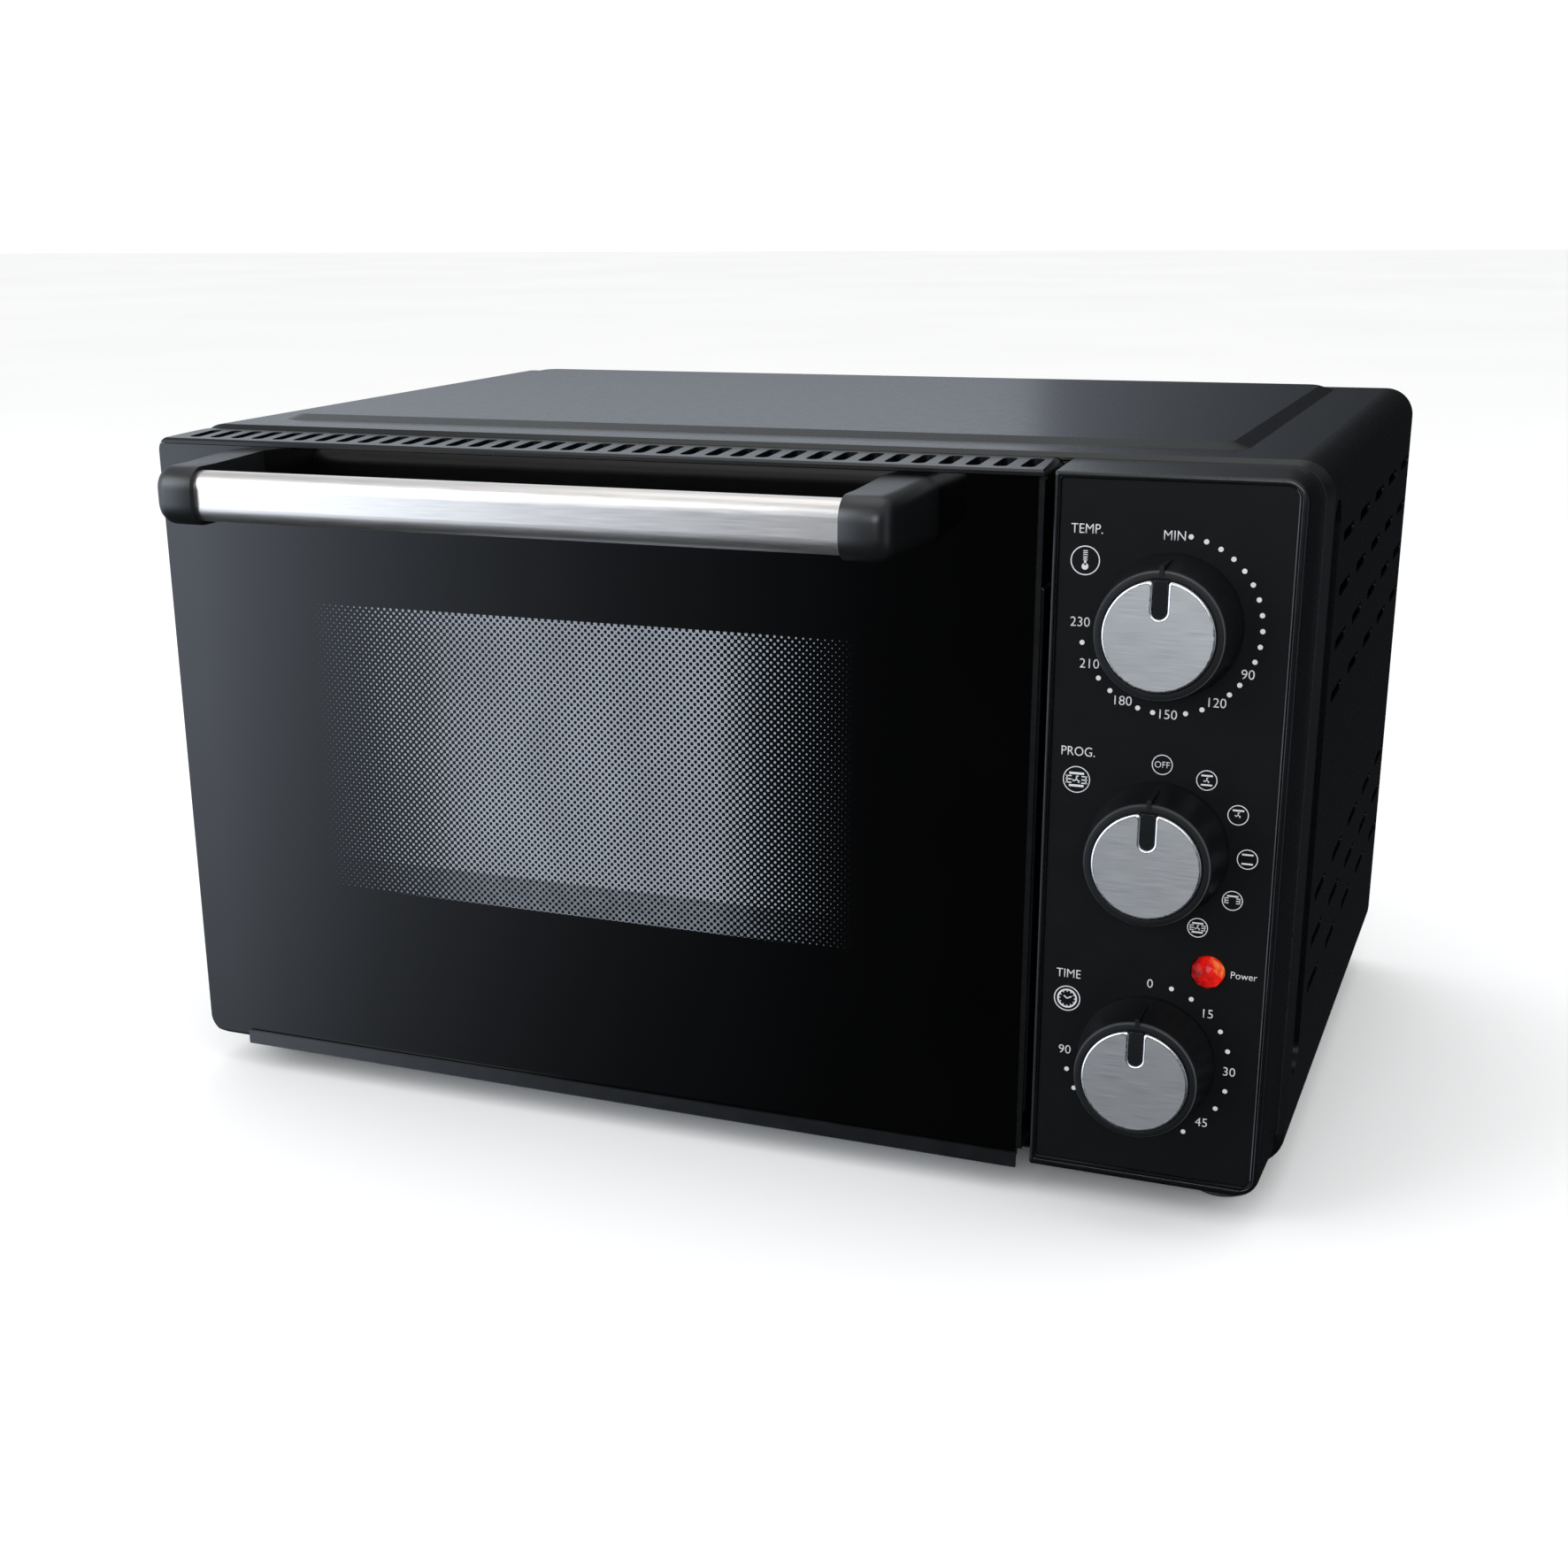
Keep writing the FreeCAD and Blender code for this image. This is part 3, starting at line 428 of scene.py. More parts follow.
def metal(name, grey, rough, size, depth=0.004, spread=0.12, tint=WHITE):
    """Unbrushed metal with patches about size across."""
    skin = Surface(name, Metallic=1.0)
    skin.colour(skin.noise(size, detail=5), tones(grey, spread, tint))
    skin.roughness(skin.noise(size / 3, detail=5), rough - 0.07, rough + 0.07)
    skin.bumps((skin.noise(size / 8, detail=3), depth))
    return skin.material


# Size and tones of the zinc's flakes, and how far back the tray's painted lip reaches.
FLAKE = 7.0
ZINC = ((0.1, (0.40, 0.41, 0.42)), (0.9, (0.60, 0.61, 0.62)))
PAINTED_LIP = 1.5
# Tones of a heater tube that has been hot many times.
BLOOM = ((0.3, (0.10, 0.085, 0.075)), (0.55, (0.17, 0.165, 0.16)), (0.75, (0.23, 0.20, 0.17)))


def galvanised(name):
    """Zinc-coated sheet: crystal flakes, each with its own tone and gloss."""
    skin = Surface(name, Metallic=1.0)
    flakes = skin.cells(FLAKE)
    skin.colour(flakes, ZINC)
    skin.feed("Roughness", skin.span(flakes, 0.30, 0.46))
    skin.bumps((skin.noise(2.0, detail=4), 0.006))
    return skin.material


def tray_sheet():
    """Galvanised tray whose front lip is painted black."""
    skin = Surface("tray_sheet", Specular_IOR_Level=1.0)
    _, y, _ = skin.axes()
    bare = skin.math("GREATER_THAN", y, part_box("crumb_tray")[0].y + PAINTED_LIP * MM)
    flakes = skin.ramp(skin.cells(FLAKE), ZINC)
    paint = skin.ramp(skin.noise(6.0), tones(0.006, 0.2, COOL))
    skin.feed("Base Color", skin.mix(bare, paint, flakes))
    skin.feed("Metallic", bare)
    skin.roughness(skin.noise(4.0), 0.15, 0.20)
    skin.bumps((skin.noise(0.8), 0.001))
    return skin.material


def hot_element():
    """Oxidised heater tube: brown-grey bloom over dull steel."""
    skin = Surface("heater_tube", Metallic=0.7)
    skin.colour(skin.noise(9.0, (0.25, 1, 1), detail=6), BLOOM)
    skin.roughness(skin.noise(2.0), 0.45, 0.62)
    skin.bumps((skin.noise(0.7, detail=4), 0.015))
    return skin.material


def plain(name, grey, rough, size, tint, spread=0.08, depth=0.01, **sockets):
    """Ceramic, pale plastic and printed ink: a speckled, slightly uneven solid colour."""
    skin = Surface(name, **sockets)
    skin.colour(skin.noise(size, detail=6), tones(grey, spread, tint))
    skin.roughness(skin.noise(size / 2), rough - 0.05, rough + 0.05)
    skin.bumps((skin.noise(size / 5, detail=3), depth))
    return skin.material


# Half the width and height over which the lamp's glow grows.
GLOW_REACH = 5.0
GLOW = ((0.22, (0.05, 0.002, 0.002)), (0.45, (0.45, 0.003, 0.003)),
        (0.72, (0.85, 0.012, 0.006)), (0.93, (0.98, 0.26, 0.06)))


def lit_lens():
    """Red lens, dark at its low left and glowing orange towards its upper right."""
    skin = Surface("lit_lens", Roughness=0.2, Specular_IOR_Level=0.15, Emission_Strength=0.75)
    skin.colour(skin.noise(2.0), ((0.3, (0.06, 0.002, 0.002)), (0.7, (0.09, 0.003, 0.003))))
    x, _, z = skin.axes()
    reach = GLOW_REACH * MM
    side = skin.span(x, 0.0, 0.55, LAMP.x - reach, LAMP.x + reach)
    up = skin.span(z, 0.0, 0.25, LAMP.z - reach, LAMP.z + reach)
    uneven = skin.span(skin.noise(2.4), 0.0, 0.3, 0.3, 0.7)
    heat = skin.math("ADD", skin.math("ADD", side, up), uneven)
    skin.feed("Emission Color", skin.ramp(heat, GLOW))
    return skin.material


def make_materials():
    """Finishes by the record's slot names, and a few more for Blender's own pieces."""
    finishes = {name: coated_black(name, *look) for name, look in BLACKS.items()}
    finishes.update({
        "foot_rubber": rubber(),
        "door_glass": printed_glass(),
        "clear_glass": clear_glass(),
        "handle_steel": brushed("handle_steel", 0.86, 0.36, 0.03, 0.5, 0.001, 0.45, WARM),
        "dial_metal": brushed("dial_metal", 0.80, 0.42, 0.03, 0.35, 0.001, 0.5),
        "polished_rim": metal("polished_rim", 0.93, 0.30, 4.0, 0.0005, 0.03),
        "screw_steel": metal("screw_steel", 0.55, 0.32, 3.0),
        "aluminium_fan": metal("aluminium_fan", 0.66, 0.34, 8.0),
        "motor_steel": metal("motor_steel", 0.40, 0.42, 10.0),
        "rack_chrome": metal("rack_chrome", 0.74, 0.14, 12.0, 0.002, 0.08),
        "bell_brass": metal("bell_brass", 0.62, 0.26, 9.0, tint=(1.0, 0.82, 0.45)),
        "label_foil": brushed("label_foil", 0.55, 0.40, 0.05, 0.6, 0.003),
        "cavity_steel": galvanised("cavity_steel"),
        "tray": tray_sheet(),
        "element_steel": hot_element(),
        "ceramic": plain("ceramic", 0.74, 0.55, 1.2, (1.0, 0.97, 0.92)),
        "switch_case": plain("switch_case", 0.55, 0.45, 3.0, (1.0, 0.96, 0.86)),
        "white_ink": plain("white_ink", 0.50, 0.50, 2.0, (0.98, 1.0, 1.03), 0.05, 0.002,
                           Specular_IOR_Level=0.3),
        "lamp_red": lit_lens(),
    })
    return finishes


def dress_nodes(finishes):
    """Each CAD node takes the finish of its slot's name; the tray has one of its own."""
    for thing in nodes.values():
        for socket in thing.material_slots:
            socket.material = finishes[socket.material.name]
    nodes["crumb_tray"].material_slots[0].material = finishes["tray"]


# ---- mesh helpers ----

def piece(name, mesh, body, slot, *finishes):
    """Puts a finished bmesh into the scene, riding on body."""
    bmesh.ops.recalc_face_normals(mesh, faces=mesh.faces)
    data = bpy.data.meshes.new(name)
    mesh.to_mesh(data)
    mesh.free()
    for finish in finishes:
        data.materials.append(finish)
    thing = add_object(name, data)
    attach(thing, body)
    return thing


def smooth_by_angle(thing, degrees):
    """Smooth shading with sharp edges where faces meet at more than degrees."""
    for face in thing.data.polygons:
        face.use_smooth = True
    thing.data.set_sharp_from_angle(angle=math.radians(degrees))


def bevel_edges(thing, width, segments, degrees=30):
    """Rounds the edges where faces meet at more than degrees."""
    bevel = thing.modifiers.new("edges", "BEVEL")
    bevel.width = width * MM
    bevel.segments = segments
    bevel.limit_method = "ANGLE"
    bevel.angle_limit = math.radians(degrees)


def bridge(mesh, first, second, material=0):
    """Quads between two closed vertex rings of the same length."""
    count = len(first)
    made = []
    for n in range(count):
        m = (n + 1) % count
        face = mesh.faces.new((first[n], first[m], second[m], second[n]))
        face.material_index = material
        made.append(face)
    return made


def ring_of(mesh, points):
    return [mesh.verts.new(point) for point in points]


def circle(x, z, radius, steps, y=None):
    """Points round (x, z), all in metres; with y they have three parts."""
    turns = [2 * math.pi * n / steps for n in range(steps)]
    flat = [(x + radius * math.sin(turn), z + radius * math.cos(turn)) for turn in turns]
    return flat if y is None else [(px, y, pz) for px, pz in flat]


def lathe(mesh, profile, x, z, front, steps):
    """Closed solid turned about the Y line through (x, z); profile is (radius, y), y counted
    from front, and it starts and ends on the axis."""
    rings = [ring_of(mesh, circle(x, z, radius * MM, steps, front + y * MM))
             for radius, y in profile[1:-1]]
    for first, second in zip(rings, rings[1:]):
        bridge(mesh, first, second)
    for ring in (rings[0], rings[-1]):
        mesh.faces.new(ring)


def flat_prism(mesh, outline, y0, y1, material=0):
    """Solid between y0 and y1 whose outline is a list of (x, z), all in metres."""
    near = ring_of(mesh, [(x, y0, z) for x, z in outline])
    far = ring_of(mesh, [(x, y1, z) for x, z in outline])
    mesh.faces.new(near).material_index = material
    mesh.faces.new(far).material_index = material
    bridge(mesh, near, far, material)


def turned(x, z, degrees):
    """(x, z) turned clockwise by degrees, as seen from the front."""
    turn = math.radians(degrees)
    return x * math.cos(turn) + z * math.sin(turn), z * math.cos(turn) - x * math.sin(turn)


def dial_point(centre, radius, degrees):
    """A place round a dial; degrees run clockwise from the top."""
    turn = math.radians(degrees)
    return centre.x + radius * MM * math.sin(turn), centre.z + radius * MM * math.cos(turn)


# ---- fascia print ----

INK_FRONT = FASCIA_FRONT - 0.04 * MM
INK_BACK = FASCIA_FRONT + 0.02 * MM
DOT_R = 0.86
DOT_STEPS = 20
RING_STEPS = 48
LINE = 0.36
THIN_LINE = 0.30
TEXT_H = 3.2
# How far the letters' outlines are moved, in the font's own units, to match the printed weight.
TEXT_WEIGHT = -0.004


def flat_text(words, weight=0.0):
    """Flat mesh of words in Blender's built-in font."""
    curve = bpy.data.curves.new("text", "FONT")
    curve.body = words
    curve.offset = weight
    curve.resolution_u = 4
    maker = add_object("text_maker", curve)
    bpy.context.view_layer.update()
    flat = bpy.data.meshes.new_from_object(maker)
    bpy.data.objects.remove(maker)
    bpy.data.curves.remove(curve)
    return flat


def font_capital_height():
    flat = flat_text("E")
    heights = [v.co.y for v in flat.vertices]
    bpy.data.meshes.remove(flat)
    return max(heights) - min(heights)


FONT_CAPITAL = font_capital_height()


class Print:
    """Thin raised ink on the fascia; places are in metres and sizes in millimetres."""

    def __init__(self):
        self.mesh = bmesh.new()

    def shape(self, outline):
        flat_prism(self.mesh, outline, INK_FRONT, INK_BACK)

    def disc(self, x, z, radius):
        self.shape(circle(x, z, radius * MM, DOT_STEPS))

    def ring(self, x, z, radius, line=LINE):
        outer = (radius + line / 2) * MM
        inner = (radius - line / 2) * MM
        corners = ((outer, INK_FRONT), (outer, INK_BACK), (inner, INK_BACK), (inner, INK_FRONT))
        rings = [ring_of(self.mesh, circle(x, z, size, RING_STEPS, y)) for size, y in corners]
        for first, second in zip(rings, rings[1:] + rings[:1]):
            bridge(self.mesh, first, second)

    def bar(self, x, z, dx, dz, width, height, degrees=0.0):
        """Bar centred dx, dz from (x, z), turned clockwise by degrees about (x, z)."""
        outline = []
        for sx, sz in CORNER_SIGNS:
            px, pz = turned(dx + sx * width / 2, dz + sz * height / 2, degrees)
            outline.append((x + px * MM, z + pz * MM))
        self.shape(outline)

    def text(self, words, x, z, height=TEXT_H, squeeze=1.0):
        """Words centred on (x, z) whose capitals are height tall."""
        flat = flat_text(words, TEXT_WEIGHT)
        xs = [v.co.x for v in flat.vertices]
        half = (min(xs) + max(xs)) / 2
        scale = height * MM / FONT_CAPITAL
        part = bmesh.new()
        part.from_mesh(flat)
        bpy.data.meshes.remove(flat)
        bmesh.ops.remove_doubles(part, verts=part.verts, dist=WELD)
        part.verts.index_update()
        places = [(x + (v.co.x - half) * scale * squeeze,
                   z + (v.co.y - FONT_CAPITAL / 2) * scale) for v in part.verts]
        front, back = (ring_of(self.mesh, [(px, y, pz) for px, pz in places])
                       for y in (INK_FRONT, INK_BACK))
        corners = [[side[v.index] for v in face.verts]
                   for side in (front, back) for face in part.faces]
        for edge in part.edges:
            if edge.is_boundary:
                first, second = (v.index for v in edge.verts)
                corners.append((front[first], front[second], back[second], back[first]))
        for around in corners:
            self.mesh.faces.new(around).smooth = True
        part.free()

    def marks(self, dial, radius, marks):
        """Dots and numbers round a dial."""
        for degrees, words in marks:
            x, z = dial_point(DIAL_MIDDLE[dial], radius, degrees)
            if words is None:
                self.disc(x, z, DOT_R)
            else:
                self.text(words, x, z)

    def heading(self, dial):
        """The dial's heading; returns the place of the symbol under it."""
        words, text_right, text_up, symbol_right, symbol_up = HEADINGS[dial]
        z = DIAL_MIDDLE[dial].z
        self.text(words, HEADING_X + text_right * MM, z + text_up * MM, squeeze=HEADING_SQUEEZE)
        return HEADING_X + symbol_right * MM, z + symbol_up * MM

    def programme(self, x, z, size, top, bottom, fan, combs):
        """Ring with bars for the heaters, and a fan and side combs; all sizes grow with size."""
        self.ring(x, z, size, THIN_LINE)
        for shown, side in ((top, 1), (bottom, -1)):
            if shown:
                self.bar(x, z, 0, side * 0.48 * size, 1.12 * size, 0.17 * size)
        if fan:
            self.fan(x, z, 0.31 * size)
        if combs:
            self.comb(x, z, size, -1)
            self.comb(x, z, size, 1)

    def fan(self, x, z, size):
        """Three hooked blades."""
        for n in range(3):
            self.bar(x, z, 0, 0.45 * size, 0.30 * size, 0.9 * size, 120 * n)
            self.bar(x, z, 0.24 * size, 0.84 * size, 0.46 * size, 0.28 * size, 120 * n)

    def comb(self, x, z, size, side):
        """Three short teeth on an upright bar."""
        for n in (-1, 0, 1):
            self.bar(x, z, side * 0.60 * size, n * 0.26 * size, 0.44 * size, 0.09 * size)
        self.bar(x, z, side * 0.72 * size, 0, 0.08 * size, 0.6 * size)

    def thermometer(self, x, z):
        """Ring with a bulb, a tube and six scale lines."""
        self.ring(x, z, 4.8)
        self.disc(x, z - 2.0 * MM, 1.15)
        self.bar(x, z, 0, 0, 0.75, 3.2)
        for n in range(6):
            self.bar(x, z, 0, 3.3 - 0.62 * n, 1.5, 0.26)

    def clock(self, x, z):
        """Thin and thick ring, twelve ticks and two hands."""
        self.ring(x, z, 4.6)
        self.ring(x, z, 3.3, 0.62)
        for n in range(12):
            self.bar(x, z, 0, 2.75, 0.3, 0.6, 30 * n)
        for up, length, degrees in ((0.9, 1.9, 62), (0.8, 1.6, -52)):
            self.bar(x, z, 0, up, 0.42, length, degrees)

    def finish(self, name, ink):
        piece(name, self.mesh, "cabinet", "fascia_print", ink)


# Headings left of the dials: the word, how far right of HEADING_X and above the dial it stands,
# and the same for the symbol under it.
HEADING_X = FASCIA_LOW.x + 9.1 * MM
HEADING_SQUEEZE = 0.9
HEADINGS = {
    "temperature": ("TEMP.", 0.0, 31.0, -0.2, 20.3),
    "programme": ("PROG.", 0.2, 32.7, 0.0, 22.6),
    "timer": ("TIME", 0.2, 29.3, 0.0, 19.7),
}
HEADING_SYMBOL_R = 4.6

# Marks round each dial, as (degrees clockwise from the top, text), with None for a dot.
TEMPERATURE_R = 30.3
TEMPERATURE_MARKS = ([(10 * n, None) for n in range(1, 12)]
                     + [(119, "90"), (127.5, None), (136.4, None), (145.6, "120"), (156.3, None),
                        (167, None), (178, "150"), (188, None), (198, None), (208.4, "180"),
                        (219, None), (230, None), (241, "210"), (255.5, None), (269, "230")])
# MIN stands beside the dot at MIN_DEGREES.
MIN_DEGREES = 10
MIN_LEFT = 5.3
MIN_UP = 0.2
MIN_SQUEEZE = 0.92

# The timer's scale has a mark every 15 degrees, apart from the one at 165.
TIME_R = 29.3
TIME_STEP = 15
TIME_BLANK = 165
TIME_TEXT = {0: "0", 45: "15", 90: "30", 135: "45", 270: "90"}
TIME_MARKS = [(turn, TIME_TEXT.get(turn))
              for turn in range(0, 271, TIME_STEP) if turn != TIME_BLANK]

# Programmes: degrees, then whether the symbol has a top bar, a bottom bar, a fan and combs.
PROGRAMME_R = 30.5
PROGRAMME_SYMBOL_R = 3.4
PROGRAMMES = ((30, True, True, True, False), (60, True, False, True, False),
              (90, True, True, False, False), (120, True, False, False, True),
              (150, True, True, True, True))
# Small words: OFF in its ring, and Power beside the lamp, with its place from the lamp's middle.
OFF_H = 2.2
POWER_H = 2.5
POWER_RIGHT = 12.4
POWER_UP = 0.1
SMALL_SQUEEZE = 0.95


def print_temperature(ink):
    paper = Print()
    paper.marks("temperature", TEMPERATURE_R, TEMPERATURE_MARKS)
    x, z = dial_point(DIAL_MIDDLE["temperature"], TEMPERATURE_R, MIN_DEGREES)
    paper.text("MIN", x - MIN_LEFT * MM, z + MIN_UP * MM, squeeze=MIN_SQUEEZE)
    paper.thermometer(*paper.heading("temperature"))
    paper.finish("temperature_print", ink)


def print_programmes(ink):
    paper = Print()
    x, z = dial_point(DIAL_MIDDLE["programme"], PROGRAMME_R, 0)
    paper.ring(x, z, PROGRAMME_SYMBOL_R, THIN_LINE)
    paper.text("OFF", x, z, OFF_H, squeeze=SMALL_SQUEEZE)
    for degrees, *parts in PROGRAMMES:
        x, z = dial_point(DIAL_MIDDLE["programme"], PROGRAMME_R, degrees)
        paper.programme(x, z, PROGRAMME_SYMBOL_R, *parts)
    x, z = paper.heading("programme")
    paper.programme(x, z, HEADING_SYMBOL_R, True, True, True, True)
    paper.finish("programme_print", ink)


def print_time(ink):
    paper = Print()
    paper.marks("timer", TIME_R, TIME_MARKS)
    paper.clock(*paper.heading("timer"))
    paper.text("Power", LAMP.x + POWER_RIGHT * MM, LAMP.z + POWER_UP * MM, POWER_H,
               squeeze=SMALL_SQUEEZE)
    paper.finish("time_print", ink)


# ---- dials ----

# The cap's radius, the half width of its notch and the notch's bottom above the centre, and the
# rounding where the notch meets the rim.
CAP_R = 18.6
RIM_STEPS = 96
NOTCH_HALF = 2.6
NOTCH_BOTTOM = 5.8
NOTCH_STEPS = 16
LIP_ROUND = 1.5
LIP_STEPS = 6
# Chamfer of the cap, from its back edge to its flat face, as (inset, y from the front).
CAP_CHAMFER = ((0.0, 0.55), (0.06, 0.36), (0.22, 0.18), (0.45, 0.06), (0.72, 0.0), (0.80, 0.02))


def rounded_corner(start, corner, end):
    points = []
    for n in range(LIP_STEPS + 1):
        t = n / LIP_STEPS
        points.append(tuple((1 - t) ** 2 * a + 2 * t * (1 - t) * c + t ** 2 * b
                            for a, c, b in zip(start, corner, end)))
    return points


def cap_outline(inset):
    """Disc with a U notch at the top, about its centre, moved inwards by inset.  The number of
    points doesn't depend on inset."""
    radius = CAP_R - inset
    half = NOTCH_HALF + inset
    start = math.asin((half + LIP_ROUND) / radius)
    rim = []
    for n in range(RIM_STEPS + 1):
        turn = start + (2 * math.pi - 2 * start) * n / RIM_STEPS
        rim.append((radius * math.sin(turn), radius * math.cos(turn)))
    lip = math.sqrt(radius ** 2 - half ** 2) - LIP_ROUND
    left = rounded_corner(rim[-1], (-half, lip + LIP_ROUND), (-half, lip))
    right = [(-x, z) for x, z in reversed(left)]
    middle_z = NOTCH_BOTTOM - inset + half
    turns = [math.pi * n / NOTCH_STEPS for n in range(NOTCH_STEPS + 1)]
    notch = [(-half * math.cos(turn), middle_z - half * math.sin(turn)) for turn in turns]
    return rim + left[1:] + notch + right[:-1]


def make_cap(dial, finishes):
    """Brushed disc whose polished chamfer runs round the rim and down into the notch."""
    node = dial + "_knob_cap"
    low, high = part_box(node)
    centre = DIAL_MIDDLE[dial]
    mesh = bmesh.new()
    rings = []
    for inset, y in ((0.0, (high.y - low.y) / MM), *CAP_CHAMFER):
        rings.append(ring_of(mesh, [(centre.x + px * MM, low.y + y * MM, centre.z + pz * MM)
                                    for px, pz in cap_outline(inset)]))
    for first, second in zip(rings, rings[1:]):
        for face in bridge(mesh, first, second, 1):
            face.smooth = True
    mesh.faces.new(rings[0]).material_index = 1
    mesh.faces.new(rings[-1]).material_index = 0
    cap = piece(dial + "_cap", mesh, dial + "_dial", "dial_metal",
                finishes["dial_metal"], finishes["polished_rim"])
    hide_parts(node)


# Section of the knob's body, as (radius, y from the cap's middle).
SKIRT = ((0, 1.0), (18.95, 1.0), (18.95, 0.25), (19.15, 0.0), (20.7, 0.0), (21.05, 0.12),
         (21.3, 0.45), (21.38, 0.9), (21.62, 1.0), (21.75, 1.25), (21.75, 1.7), (21.6, 1.95),
         (21.65, 4.5), (21.9, 7.0), (22.3, 10.5), (22.8, 13.5), (23.5, 16.4), (24.1, 18.0),
         (24.3, 18.6), (24.3, 19.3), (22.3, 19.3), (20.0, 11.0), (19.4, 4.0), (6.0, 4.0),
         (6.0, 18.3), (0, 18.3))
SKIRT_STEPS = 128
# The bead's front edge, which carries a painted highlight line in the lighter black: its radii, and
# how far back it may lie.
PAINTED_HIGHLIGHT_R = (21.0, 21.36)
PAINTED_HIGHLIGHT_DEPTH = 0.8
# Pointer in the notch, with a round lower end, and rib over it: half width, heights above the
# centre, and depths from the cap's middle.
POINTER_HALF = 2.35
POINTER_Z = (8.45, 18.3)
POINTER_Y = (-0.45, 1.5)
POINTER_STEPS = 12
RIB_HALF = 0.75
RIB_Z = (19.9, 23.2)
RIB_Y = (-0.35, 18.0)


def make_skirt(dial, finishes):
    """Knob body with a beaded front edge, a pointer that fills the cap's notch and a rib over it."""
    centre = DIAL_MIDDLE[dial]
    front = middle(dial + "_knob_cap").y
    mesh = bmesh.new()

    def prism(outline, depths, material):
        places = [(centre.x + x * MM, centre.z + z * MM) for x, z in outline]
        flat_prism(mesh, places, *(front + y * MM for y in depths), material)

    lathe(mesh, SKIRT, centre.x, centre.z, front, SKIRT_STEPS)
    for face in mesh.faces:
        place = face.calc_center_median()
        radius = math.hypot(place.x - centre.x, place.z - centre.z) / MM
        # Faces on the bead's front edge take the lighter black as a painted highlight line.
        in_painted_highlight = PAINTED_HIGHLIGHT_R[0] < radius < PAINTED_HIGHLIGHT_R[1]
        if in_painted_highlight and place.y < front + PAINTED_HIGHLIGHT_DEPTH * MM:
            face.material_index = 2
    bottom, top = POINTER_Z
    turns = [math.pi * n / POINTER_STEPS for n in range(POINTER_STEPS + 1)]
    arc = [(POINTER_HALF * math.cos(turn), bottom - POINTER_HALF * math.sin(turn)) for turn in turns]
    prism([(-POINTER_HALF, top), (POINTER_HALF, top)] + arc, POINTER_Y, 1)
    low, high = RIB_Z
    prism([(-RIB_HALF, low), (RIB_HALF, low), (RIB_HALF, high), (-RIB_HALF, high)], RIB_Y, 0)
    skirt = piece(dial + "_skirt", mesh, dial + "_dial", "black_plastic",
                  finishes["skirt_black"], finishes["gloss_black"], finishes["painted_highlight_black"])
    smooth_by_angle(skirt, 30)
    bevel_edges(skirt, 0.12, 2, 50)
    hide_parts(dial + "_knob")


# ---- handle brackets ----

# How far the outer side comes in at the front, the rounding of the outer edges, and the radius
# of the nose.
BRACKET_TAPER = 2.5
BRACKET_ROUND = 5.5
BRACKET_ROUND_STEPS = 6
BRACKET_NOSE = 8.5
BRACKET_NOSE_STEPS = 10
# The bracket is taller towards the glass, by HEEL on each side, over HEEL_RUN.
BRACKET_HEEL = 1.2
BRACKET_HEEL_RUN = 30.0
BRACKET_STATIONS = (0.0, 8.0, 16.0, 24.0, 32.0)
# Rounded edge beside the tube, as (inset of the side outline, distance from the tube's end).
BRACKET_LIP = ((0.6, 0.0), (0.15, 0.12), (0.0, 0.6))


def bracket_profile(height, reach, inset):
    """Upper half of the side outline, as (distance in front of the glass, half height)."""
    half = height / 2 - inset
    radius = BRACKET_NOSE - inset
    nose = reach - inset - radius
    points = [(y, half + BRACKET_HEEL * max(0.0, 1 - y / BRACKET_HEEL_RUN))
              for y in BRACKET_STATIONS]
    points.append((nose, half))
    for n in range(1, BRACKET_NOSE_STEPS + 1):
        turn = math.pi / 2 * n / BRACKET_NOSE_STEPS
        points.append((nose + radius * math.sin(turn), half - radius + radius * math.cos(turn)))
    return points


def make_bracket(side, finishes):
    """Sleeve over the tube's end, running back to the glass, with well-rounded outer edges."""
    node = side + "_handle_bracket"
    low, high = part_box(node)
    tube_low, tube_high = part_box("handle_tube")
    reach = (high.y - low.y) / MM
    height = (high.z - low.z) / MM
    mid_z = (low.z + high.z) / 2
    if side == "right":
        inner, outer, way = tube_high.x, high.x, 1
    else:
        inner, outer, way = tube_low.x, low.x, -1
    width = abs(outer - inner) / MM

    # Each level: inset of the side outline, distance from the tube's end, and how far it comes
    # in at the front.
    levels = [(inset, outwards, 0.0) for inset, outwards in BRACKET_LIP]
    for n in range(BRACKET_ROUND_STEPS + 1):
        turn = math.pi / 2 * n / BRACKET_ROUND_STEPS
        levels.append((BRACKET_ROUND * (1 - math.cos(turn)),
                       width - BRACKET_ROUND * (1 - math.sin(turn)), BRACKET_TAPER))
    mesh = bmesh.new()
    rings = []
    for inset, outwards, taper in levels:
        half = bracket_profile(height, reach, inset)
        around = half + [(y, -z) for y, z in reversed(half)]
        rings.append(ring_of(mesh, [(inner + way * (outwards - taper * y / reach) * MM,
                                     high.y - y * MM, mid_z + z * MM) for y, z in around]))
    for first, second in zip(rings, rings[1:]):
        bridge(mesh, first, second)
    for ring in (rings[0], rings[-1]):
        last = len(ring) - 1
        for n in range(len(ring) // 2 - 1):
            mesh.faces.new((ring[n], ring[n + 1], ring[last - n - 1], ring[last - n]))
    bracket = piece(side + "_bracket", mesh, "door", "black_plastic", finishes["satin_black"])
    smooth_by_angle(bracket, 40)
    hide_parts(node)


# ---- bezel ----

# Section of the rim, from the fascia's edge to the outer edge, as (share of the way, y).
RIM = ((0.0, 3.0), (0.0, 0.45), (0.06, 0.16), (0.14, 0.10), (0.19, 0.22), (0.22, 0.60),
       (0.31, 0.60), (0.34, 0.12), (0.39, 0.0), (0.60, 0.0), (0.74, 0.10), (0.86, 0.42),
       (0.95, 1.0), (1.0, 2.0))
